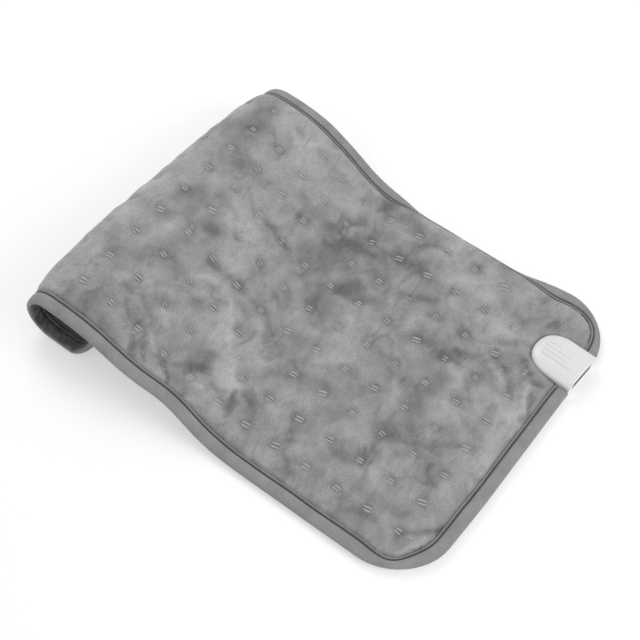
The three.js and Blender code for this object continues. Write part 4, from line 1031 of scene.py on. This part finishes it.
def outline_path(gap_half):
    """Flat places round the edge from one side of the housing to the other, with the way inwards."""
    corner_along, corner_across = pad_length / 2 - corner_radius, half_width - corner_radius
    quarter = math.pi / 2
    places, inwards = [], []

    def run_to(start, end, inward):
        count = max(1, round(float(np.hypot(*(end - start))) / path_step))
        places.append(start + (end - start) * np.linspace(0, 1, count + 1)[:-1, None])
        inwards.append(np.tile(inward, (count, 1)))

    here = np.array([0, housing_place + gap_half])
    for end_side, far_side, heading in ((-1, 1, math.pi), (1, 1, quarter), (1, -1, 0), (-1, -1, -quarter)):
        centre = np.array([pad_length / 2 + end_side * corner_along, far_side * corner_across])
        count = max(2, round(quarter * corner_radius / path_step))
        angle = np.linspace(heading, heading - quarter, count + 1)
        outwards = np.column_stack([np.cos(angle), np.sin(angle)])
        run_to(here, centre + corner_radius * outwards[0], -outwards[0])
        places.append(centre + corner_radius * outwards[:-1])
        inwards.append(-outwards[:-1])
        here = centre + corner_radius * outwards[-1]
    end, inward = np.array([0, housing_place - gap_half]), np.array([1.0, 0.0])
    run_to(here, end, inward)
    return np.concatenate([*places, [end]]), np.concatenate([*inwards, [inward]])


def make_binding():
    """The tape as one closed tube round the hem, cut at the housing and laid over the roll.

    The path runs round the pad the other way than a tube's faces expect, so they are turned outwards.
    """
    upper, inside = np.array(tape_line) * MM, np.array(tape_inside) * MM
    loop = np.concatenate([upper, upper[-2::-1] * (1, -1), inside[:0:-1] * (1, -1), inside])
    # Painted shade on the lip and in the groove, and painted highlight beside the groove, for both faces
    dark = np.array(tape_painted_shade + tape_painted_shade[-2::-1] + [0] * (2 * len(inside) - 1))
    light = tape_highlight + [0] * (len(loop) - len(tape_highlight))
    places, inwards = outline_path(housing_half - tape_overlap)
    count, around = len(places), len(loop)
    flat = places[:, None, :] + inwards[:, None, :] * loop[None, :, :1]
    along, across = flat[:, :, 0], flat[:, :, 1]
    waver = cloudy(*places.T, waver_size, 21)[:, None]
    flat = flat + inwards[:, None, :] * (waver_reach * waver * smooth(loop[:, 0], *lip_run))[:, :, None]
    level = loop[:, 1] * (1 + 0.1 * cloudy(along, across, 13 * MM, 22)) + waver_lift * waver
    points = np.column_stack([flat.reshape(-1, 2), level.ravel()])
    outward = [(first, *rest[::-1]) for first, *rest in tube_faces(count, around)]
    binding = new_piece("tape_binding", points, outward)
    # Painted shade on the tape's underside deep in the roll, broken into streaks like gathers
    gathers_in_shade = 0.62 + 0.3 * cloudy(along, across, 2.6 * MM, 45)
    shaded = gathers_in_shade * smooth(along, *deep_in_roll) * smooth(-loop[:, 1], 0.5 * MM, 2 * MM)
    keep_values(binding, "painted_shade", np.clip(np.maximum(dark, shaded), 0, 1).ravel())
    keep_values(binding, "groove_highlight", np.tile(light, count))
    cut(binding, tongue_cutter(cloth_gap))
    drape_piece(binding, 0)
    shade_smooth(binding, math.radians(70))
    finish_piece(binding, tape, "binding_tape", "edge_binding")


make_binding()

# %% [markdown]
# ## Repeated parts with Geometry Nodes
# The tacks, the stitches and the screws are each one small shape at many places. A node tree puts the
# shape on every vertex of a carrier mesh, turned by two attributes: which way the place faces and which
# way is lengthwise. Its named inputs set the spread in size and turn, and a fixed seed keeps the result.

# %% The node tree
repeat_inputs = [("Shape", "Object", None), ("Size Spread", "Float", 0.08), ("Turn Spread", "Float", 0.1),
                 ("Seed", "Int", 5), ("Finish", "Material", None)]


def repeat_tree():
    """A tree that places one shape on all points, with a named input for each thing that may vary."""
    tree = bpy.data.node_groups.new("repeat_on_points", "GeometryNodeTree")
    face = tree.interface
    face.new_socket("Geometry", in_out="INPUT", socket_type="NodeSocketGeometry")
    for name, kind, value in repeat_inputs:
        socket = face.new_socket(name, in_out="INPUT", socket_type=f"NodeSocket{kind}")
        if value is not None:
            socket.default_value = value
    face.new_socket("Geometry", in_out="OUTPUT", socket_type="NodeSocketGeometry")
    add, link = tree.nodes.new, tree.links.new
    given, result = add("NodeGroupInput"), add("NodeGroupOutput")

    def spread_of(middle, spread):
        low, high = add("ShaderNodeMath"), add("ShaderNodeMath")
        low.operation, high.operation = "SUBTRACT", "ADD"
        for node in (low, high):
            node.inputs[0].default_value = middle
            link(given.outputs[spread], node.inputs[1])
        draw = add("FunctionNodeRandomValue")
        draw.data_type = "FLOAT"
        minimum, maximum = [entry for entry in draw.inputs if entry.name in ("Min", "Max") and entry.enabled]
        link(low.outputs[0], minimum)
        link(high.outputs[0], maximum)
        link(given.outputs["Seed"], draw.inputs["Seed"])
        return [entry for entry in draw.outputs if entry.enabled][0]

    read = []
    for name in ("facing", "lengthwise"):
        attribute = add("GeometryNodeInputNamedAttribute")
        attribute.data_type = "FLOAT_VECTOR"
        attribute.inputs["Name"].default_value = name
        read.append(attribute.outputs["Attribute"])
    axes = add("FunctionNodeAxesToRotation")
    axes.primary_axis, axes.secondary_axis = "Z", "X"
    link(read[0], axes.inputs["Primary Axis"])
    link(read[1], axes.inputs["Secondary Axis"])
    turn = add("FunctionNodeAxisAngleToRotation")
    turn.inputs["Axis"].default_value = (0, 0, 1)
    link(spread_of(0, "Turn Spread"), turn.inputs["Angle"])
    turned = add("FunctionNodeRotateRotation")
    turned.rotation_space = "LOCAL"
    link(axes.outputs[0], turned.inputs["Rotation"])
    link(turn.outputs[0], turned.inputs["Rotate By"])
    shape = add("GeometryNodeObjectInfo")
    link(given.outputs["Shape"], shape.inputs["Object"])
    place = add("GeometryNodeInstanceOnPoints")
    link(given.outputs["Geometry"], place.inputs["Points"])
    link(shape.outputs["Geometry"], place.inputs["Instance"])
    link(turned.outputs[0], place.inputs["Rotation"])
    link(spread_of(1, "Size Spread"), place.inputs["Scale"])
    realize, finish = add("GeometryNodeRealizeInstances"), add("GeometryNodeSetMaterial")
    link(place.outputs[0], realize.inputs[0])
    link(realize.outputs[0], finish.inputs["Geometry"])
    link(given.outputs["Finish"], finish.inputs["Material"])
    link(finish.outputs[0], result.inputs[0])
    return tree


repeat_nodes = repeat_tree()
look_ahead = 0.5 * MM


def repeat_on(name, points, facing, lengthwise, shape, material, slot, nodes=(), **inputs):
    """One shape at every point, made by the node tree and kept as plain mesh."""
    piece = new_piece(name, points, [])
    keep_values(piece, "facing", facing)
    keep_values(piece, "lengthwise", lengthwise)
    modifier = piece.modifiers.new("repeat", "NODES")
    modifier.node_group = repeat_nodes
    chosen = {key.replace("_", " ").title(): value for key, value in inputs.items()}
    chosen.update({"Shape": shape, "Finish": material})
    for item in repeat_nodes.interface.items_tree:
        if item.item_type == "SOCKET" and item.in_out == "INPUT" and item.name in chosen:
            modifier[item.identifier] = chosen[item.name]
    bake_modifiers(piece)
    bpy.data.objects.remove(shape)
    shade_smooth(piece, math.radians(50))
    finish_piece(piece, material, slot, *nodes)


def on_cloth(along, across, level, side):
    """Points on the draped pad, with the way they face and the way along the pad."""
    points = drape(along, across, level)
    outward = drape(along, across, level + side * MM)
    onward = drape(along + look_ahead, across, level)
    return points, (outward - points) / MM, (onward - points) / look_ahead


def thread_rods(name, half, radius, stations, asides=(0,), sides=6):
    """Rods of thread along X, side by side, which are thinner and closer together at their ends."""
    points, faces = [], []
    for aside in asides:
        faces += tube_faces(len(stations), sides, len(points))
        for place, share in stations:
            middle = aside * (0.55 + 0.45 * share)
            for angle in np.linspace(0, 2 * math.pi, sides, endpoint=False):
                out, up = radius * share * math.cos(angle), radius * share * math.sin(angle)
                points.append((place * half, middle + out, up))
    return new_piece(name, points, faces)


# %% [markdown]
# ## The tacks
# A tack is a small bar of thread, sewn through the whole pad: two satin strokes side by side with a
# slit between them. They lie along the pad, each pair a little turned and sunk to its own depth. A
# dark bed below them stands for the shade in the slit.

# %% Tack shapes
stroke_half, stroke_radius, stroke_apart = 3.2 * MM, 0.82 * MM, 1.3 * MM
# Where a section of the stroke stands along its half length, and its share of the radius
stroke_stations = ((-1, 0.3), (-0.8, 0.8), (-0.3, 1), (0.3, 1), (0.8, 0.8), (1, 0.3))
bed_half_long, bed_half_wide, bed_depth = 3.4 * MM, 1.5 * MM, 1.4 * MM
tack_lift = {"top": 0.75 * MM, "under": 0.1 * MM}
tack_spread = {"size_spread": 0.2, "turn_spread": 0.35, "seed": 5}


def flat_bed(name, half_long, half_wide, depth):
    """A thin oblong plate."""
    angle = np.linspace(0, 2 * math.pi, 8, endpoint=False) + math.pi / 8
    outline = np.column_stack([half_long * np.cos(angle), half_wide * np.sin(angle)])
    return stacked_piece(name, [(outline, -depth), (outline * 0.8, 0)])


def tack_places():
    """Flat places of the tacks, but for those that the housing takes the place of."""
    along, across = np.meshgrid(end_margin + tack_pitch_along * np.arange(tack_columns),
                                tack_pitch_across * np.arange(tack_rows) - outer_row, indexing="ij")
    along, across = along.ravel(), across.ravel()
    aside = across - housing_place - along * math.sin(housing_turn)
    from_tip = np.hypot(np.clip(along - housing_straight, 0, None), aside)
    clear = from_tip > housing_length - housing_straight + 3 * MM
    clear &= ~((along < housing_straight) & (np.abs(aside) < housing_half + 3 * MM))
    return along[clear], across[clear]


def make_tacks():
    along, across = tack_places()
    for side, word, share in ((1, "top", 1.0), (-1, "under", under_share)):
        lift = tack_lift[word] + 0.3 * MM * cloudy(along, across, 14 * MM, 43)
        level = side * (plush_level(along, across, 0 * along, share) + lift)
        points, facing, lengthwise = on_cloth(along, across, level, side)
        strokes = thread_rods("tack_shape", stroke_half, stroke_radius, stroke_stations,
                              (-stroke_apart, stroke_apart))
        repeat_on(f"tacks_{word}", points, facing, lengthwise, strokes, tack_thread, "binding_tape",
                  **tack_spread)
        # A dark plate under the strokes: painted shade in the slit
        bed = flat_bed("bed_shape", bed_half_long, bed_half_wide, bed_depth)
        repeat_on(f"tack_beds_{word}", points - facing * 0.1 * MM, facing, lengthwise, bed, shade_thread,
                  "binding_tape", **tack_spread)


make_tacks()

# %% [markdown]
# ## The seam
# One row of stitches holds the tape on each face. Each stitch is a short rod of thread, a little
# shorter than its step, laid along the groove.

# %% Seam stitches
stitch_step = 3.0 * MM
stitch_half, stitch_radius = 1.15 * MM, 0.24 * MM
stitch_stations = ((-1, 0.35), (-0.7, 1), (0.7, 1), (1, 0.35))
stitch_level = 2.15 * MM
seam_gap, seam_end = 1.4 * MM, 2 * MM


def make_seam():
    places, inwards = outline_path(housing_half + seam_gap)
    run = np.concatenate([[0], np.cumsum(np.hypot(*np.diff(places, axis=0).T))])
    stations = np.arange(seam_end, run[-1] - seam_end, stitch_step)
    line = places + inwards * seam_place
    here, ahead = ([np.interp(stations + further, run, line[:, axis]) for axis in (0, 1)]
                   for further in (0, look_ahead))
    for side, word in ((1, "top"), (-1, "under")):
        level = np.full(len(stations), side * stitch_level)
        points, facing, _ = on_cloth(*here, level, side)
        lengthwise = (drape(*ahead, level) - points) / look_ahead
        stitch = thread_rods("stitch_shape", stitch_half, stitch_radius, stitch_stations)
        repeat_on(f"seam_{word}", points, facing, lengthwise, stitch, seam_thread, "binding_tape",
                  size_spread=0.06, turn_spread=0.12, seed=8)


make_seam()

# %% [markdown]
# ## The layers inside
# Two sheets of wadding and the two sheets that carry the wire lie between the covers. They are drawn
# as thin closed grids in the flat state, cut round the housing and draped like the covers.

# %% Inner sheets
layer_step = 6 * MM
layer_start, layer_reach = end_margin + 0.3 * MM, outer_row - 0.3 * MM
layer_gap = 2.4 * MM
sensor_window = (46.1 * MM, 16.7 * MM, -9 * MM), (55.5 * MM, 37.3 * MM, 9 * MM)


def make_layer(name, node, side, levels, material, windowed=False):
    """A closed sheet between two levels, cut round the housing and laid over the roll."""
    columns = int((pad_length - 2 * layer_start) / layer_step) + 1
    rows = int(2 * layer_reach / layer_step) + 1
    along, across = np.meshgrid(np.linspace(layer_start, pad_length - layer_start, columns),
                                np.linspace(-layer_reach, layer_reach, rows), indexing="ij")
    count = columns * rows
    points = np.concatenate([np.column_stack([along.ravel(), across.ravel(), np.full(count, side * level)])
                             for level in levels[::-1]])
    flat_faces, rim = grid_faces(columns, rows), border(columns, rows)
    faces = flat_faces.tolist() + (flat_faces[:, ::-1] + count).tolist()
    faces += [(onward, here, here + count, onward + count) for here, onward in zip(rim, rim[1:] + rim[:1])]
    layer = new_piece(name, points, faces if side > 0 else [face[::-1] for face in faces])
    cut(layer, tongue_cutter(layer_gap))
    if windowed:
        cut(layer, box_piece(*sensor_window))
    drape_piece(layer, side)
    shade_smooth(layer, math.radians(40))
    finish_piece(layer, material, "wadding", node)


make_layer("felt_top", "wadding_top", 1, wadding_levels, felt)
make_layer("felt_under", "wadding_bottom", -1, wadding_levels, felt)
make_layer("scrim_top", "carrier_top", 1, carrier_levels, scrim, windowed=True)
make_layer("scrim_under", "carrier_bottom", -1, carrier_levels, scrim, windowed=True)

# %% [markdown]
# ## The socket housing
# The two shells are stacks of the same tongue outline at different offsets and heights. The upper one
# rises straight to a shoulder and then closes in a quarter of an ellipse. Small rounds at the parting
# line and at the open end catch the light, as they do on a moulded part. Four soft ribs for the fingers
# run lengthwise on top.

# %% Upper shell
housing_height, shoulder_height = 8.6 * MM, 3.44 * MM
housing_wall, end_wall = 1.8 * MM, 2 * MM
dome_reach = 0.8 * housing_half
parting = 0.15 * MM
socket_half_width, socket_half_height = 13.3 * MM, 3.9 * MM
outline_steps = 64
edge_round = 0.5 * MM
open_end = -1 * MM


def placed_on_pad(piece):
    """Moves a piece of the housing, drawn round its own origin, to its place on the pad."""
    along, across, height = coordinates(piece.data).T
    move_mirrored(piece, np.column_stack([*housing_xy(along, across), height + offset[2]]))


def dome_rings(inset, start, top, end, rounded):
    """Rings (outline, height) up to the shoulder and over the dome."""
    rings = [(tongue_outline(inset, end, outline_steps), start)]
    if rounded:
        angles = np.radians([0, 30, 60, 90])
        rounds = edge_round * (1 - np.column_stack([np.sin(angles), np.cos(angles)]))
        rings = [(tongue_outline(inward, end + inward, outline_steps), start + up) for inward, up in rounds]
    for angle in np.radians(np.linspace(0, 88, 12)):
        inward = inset + (dome_reach - inset) * (1 - math.cos(angle))
        set_back = 8 * MM * max(0, math.sin(angle) - 0.55) ** 2 if rounded else 0
        height = shoulder_height + (top - shoulder_height) * math.sin(angle)
        rings.append((tongue_outline(inward, end + set_back, outline_steps), height))
    return rings


def post_piece(place, radius, low, high, sides=24):
    """An upright round post at a flat place."""
    angle = np.linspace(0, 2 * math.pi, sides, endpoint=False)
    outline = np.column_stack([place[0] + radius * np.cos(angle), place[1] + radius * np.sin(angle)])
    return stacked_piece("post", [(outline, low), (outline, high)])


def socket_mouth():
    """The box that opens the end of a shell for the socket."""
    low = (open_end, -socket_half_width, -socket_half_height)
    return box_piece(low, (end_wall + 1 * MM, socket_half_width, socket_half_height))


def make_upper_shell():
    shell = stacked_piece("shell_top", dome_rings(0, parting, housing_height, 0, True))
    hollow_top = housing_height - housing_wall
    cut(shell, stacked_piece("hollow", dome_rings(housing_wall, -1 * MM, hollow_top, end_wall, False)))
    cut(shell, socket_mouth())
    placed_on_pad(shell)
    shade_smooth(shell, math.radians(35))
    finish_piece(shell, white_plastic, "white_plastic", "housing_top")
    return shell


upper_shell = make_upper_shell()

# %% Finger ribs
rib_pitch = 4.6 * MM
rib_runs = [(7 * MM, 36 * MM), (13 * MM, 37 * MM), (13 * MM, 37 * MM), (25 * MM, 36 * MM)]
rib_half_width, rib_stand = 1.7 * MM, 1.05 * MM
rib_sink, rib_foot = 0.12 * MM, 0.3 * MM
rib_stations, rib_arc = 25, 9
above_shell = 50 * MM


def rib_section(along, middle, fade):
    """One ring of a rib: an arc that stands on the shell, and two feet a little inside it."""
    ring = []
    for angle in np.linspace(0, math.pi, rib_arc):
        x, y = housing_xy(along, middle - rib_half_width * fade * math.cos(angle))
        shell_point = upper_shell.ray_cast(Vector((x, y, above_shell)), Vector((0, 0, -1)))[1]
        ring.append((x, y, shell_point.z + rib_stand * fade * math.sin(angle) - rib_sink))
    return ring + [(x, y, z - rib_foot) for x, y, z in (ring[-1], ring[0])]


def make_ribs():
    """Soft ridges that follow the dome: a half-round section that fades out at both ends."""
    points, faces = [], []
    for rib, (rib_start, rib_end) in enumerate(rib_runs):
        faces += tube_faces(rib_stations, rib_arc + 2, len(points))
        for share in np.linspace(0, 1, rib_stations):
            fade = math.sqrt(max(0.0, 1 - (2 * share - 1) ** 6))
            points += rib_section(rib_start + share * (rib_end - rib_start), (rib - 1.5) * rib_pitch, fade)
    ribs = new_piece("finger_ribs", points, faces)
    shade_smooth(ribs, math.radians(60))
    finish_piece(ribs, white_plastic, "white_plastic")


make_ribs()

# %% Lower shell
lower_rings = [(0.8, -5.2), (0.45, -5.1), (0.2, -4.9), (0.05, -4.6), (0, -4.3), (0, -0.5), (0.15, -0.25),
               (0.35, -0.15)]
screw_radius, head_radius, head_sink = 1 * MM, 1.9 * MM, 0.3 * MM
boss_radius, screw_play = 2.4 * MM, 0.3 * MM
under_floor, seat_level, over_parting = -6 * MM, -3.3 * MM, 1 * MM


def make_lower_shell():
    rings = np.array(lower_rings) * MM
    outlines = [(tongue_outline(inset, inset, outline_steps), height) for inset, height in rings]
    shell = stacked_piece("shell_under", outlines)
    inner = tongue_outline(housing_wall, end_wall, outline_steps)
    hollow = stacked_piece("hollow", [(inner, (-5.2 + 1.3) * MM), (inner, over_parting)])
    posts = np.array(screw_places) * MM
    for place in posts:
        cut(hollow, post_piece(place, boss_radius, -5 * MM, 2 * MM))
    cut(shell, hollow)
    cut(shell, socket_mouth())
    for place in posts:
        cut(shell, post_piece(place, screw_radius + screw_play, under_floor, over_parting))
        cut(shell, post_piece(place, head_radius + screw_play, under_floor, seat_level))
    placed_on_pad(shell)
    shade_smooth(shell, math.radians(35))
    finish_piece(shell, white_plastic, "white_plastic", "housing_bottom")


make_lower_shell()

# %% [markdown]
# ## The screws
# Four screws close the shells from below. The shape is one turned head and shank with a cross cut into
# the head, and the same node tree sets it into the four holes.

# %% Screws
screw_profile = [(1.5, 0), (1.8, 0.12), (1.9, 0.4), (1.9, 1.3), (1.0, 1.35), (1.0, 8.0), (0.5, 8.7)]
cross_long, cross_wide, cross_depth = 1.25 * MM, 0.28 * MM, 0.7 * MM


def screw_shape():
    angle = np.linspace(0, 2 * math.pi, 16, endpoint=False)
    circle = np.column_stack([np.cos(angle), np.sin(angle)])
    rings = [(circle * radius * MM, height * MM) for radius, height in screw_profile]
    screw = stacked_piece("screw_shape", rings)
    for long, wide in ((cross_long, cross_wide), (cross_wide, cross_long)):
        cut(screw, box_piece((-long, -wide, -1 * MM), (long, wide, cross_depth)))
    return screw


def make_screws():
    places = np.array([(*housing_xy(along * MM, across * MM), head_sink) for along, across in screw_places])
    up, lengthwise = np.tile((0, 0, 1), (4, 1)), np.tile((1, 0, 0), (4, 1))
    nodes = [f"housing_screw_{number}" for number in range(1, 5)]
    repeat_on("housing_screws", places, up, lengthwise, screw_shape(), steel, "screw_steel", nodes,
              size_spread=0.0, turn_spread=1.2, seed=2)


make_screws()

# %% [markdown]
# ## The remaining solids
# The wires, the fuse, the sensor, the socket block and its pins are shown as the solid model has them.
# They lie inside the pad, and they get smooth shading and their finishes.

# %% Finishes for the solids
node_finishes = {
    "heating_wire": silicone, "lead_to_fuse": sheath, "lead_from_fuse": sheath, "lead_return": sheath,
    "sensor_lead_a": sheath, "sensor_lead_b": sheath, "splice_near": tinned, "splice_far": tinned,
    "thermal_fuse": tinned, "temperature_sensor": socket_plastic, "socket_block": socket_plastic,
    **{f"contact_pin_{number}": tinned for number in range(1, 5)},
}
for node, finish in node_finishes.items():
    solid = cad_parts[node]
    solid.data.materials.clear()
    solid.data.materials.append(finish)
    solid.data.shade_smooth()
    solid.data.set_sharp_from_angle(angle=math.radians(40))
print("solids kept:", len(node_finishes))

# %% [markdown]
# ## Stage and light
# The picture has a plain white ground, so the world is white where the camera sees it directly or in a
# reflection, and gives only a dim even light otherwise. The floor turns white for the camera with the
# distance too, and keeps a soft shadow beside the pad. Three broad area lights do the rest: a key from
# the upper left behind the pad, a fill from the front and a soft one from the right.

# %% Floor, lights and world


def make_floor():
    floor = new_piece("floor", [(-3, -3, 0), (3, -3, 0), (3, 3, 0), (-3, 3, 0)], [(0, 1, 2, 3)])
    floor.location.z = -0.4 * MM
    finish = Finish("pale_floor", roughness=0.9, specular_ior_level=0.1)
    finish.colour(finish.ramp(finish.noise(finish.object_place(), 3.0), (0.3, 0.95), (0.7, 0.97)))
    tree = finish.tree
    kinds = ("LightPath", "Emission", "MixShader")
    path, white, mix = (tree.nodes.new("ShaderNode" + kind) for kind in kinds)
    distance = finish.node("VectorMath", {0: finish.object_place()}, operation="LENGTH").outputs["Value"]
    share = finish.ramp(distance, (0.35, 0.45), (0.8, 1.0))
    share = finish.math("MULTIPLY", share, path.outputs["Is Camera Ray"])
    tree.links.new(share, mix.inputs["Fac"])
    tree.links.new(finish.shader.outputs[0], mix.inputs[1])
    tree.links.new(white.outputs[0], mix.inputs[2])
    tree.links.new(mix.outputs[0], tree.nodes["Material Output"].inputs["Surface"])
    floor.data.materials.append(finish.material)


def area_light(name, place, size, power):
    light = bpy.data.objects.new(name, bpy.data.lights.new(name, "AREA"))
    light.data.energy = power
    light.data.size = size
    light.location = place
    light.rotation_euler = (Vector((0, 0, 0.02)) - Vector(place)).to_track_quat("-Z", "Y").to_euler()
    bpy.context.scene.collection.objects.link(light)


def make_world():
    world = bpy.data.worlds.new("studio")
    world.use_nodes = True
    tree = world.node_tree
    background, white = tree.nodes["Background"], tree.nodes.new("ShaderNodeBackground")
    for node, strength in ((background, 0.56), (white, 1.0)):
        node.inputs["Strength"].default_value = strength
        node.inputs["Color"].default_value = (1, 1, 1, 1)
    path, mix = tree.nodes.new("ShaderNodeLightPath"), tree.nodes.new("ShaderNodeMixShader")
    seen = path.outputs["Is Camera Ray"]
    for ray in ("Is Glossy Ray", "Is Transmission Ray"):
        add = tree.nodes.new("ShaderNodeMath")
        add.operation = "MAXIMUM"
        tree.links.new(seen, add.inputs[0])
        tree.links.new(path.outputs[ray], add.inputs[1])
        seen = add.outputs[0]
    tree.links.new(seen, mix.inputs["Fac"])
    tree.links.new(background.outputs[0], mix.inputs[1])
    tree.links.new(white.outputs[0], mix.inputs[2])
    tree.links.new(mix.outputs[0], tree.nodes["World Output"].inputs["Surface"])
    bpy.context.scene.world = world


make_floor()
make_world()
area_light("key", (-1.0, 0.5, 1.0), 0.8, 9)
area_light("fill", (0.3, -1.3, 1.1), 1.2, 4.5)
area_light("side", (1.3, 0.2, 0.9), 0.9, 10)
bpy.context.scene.view_settings.view_transform = "Standard"
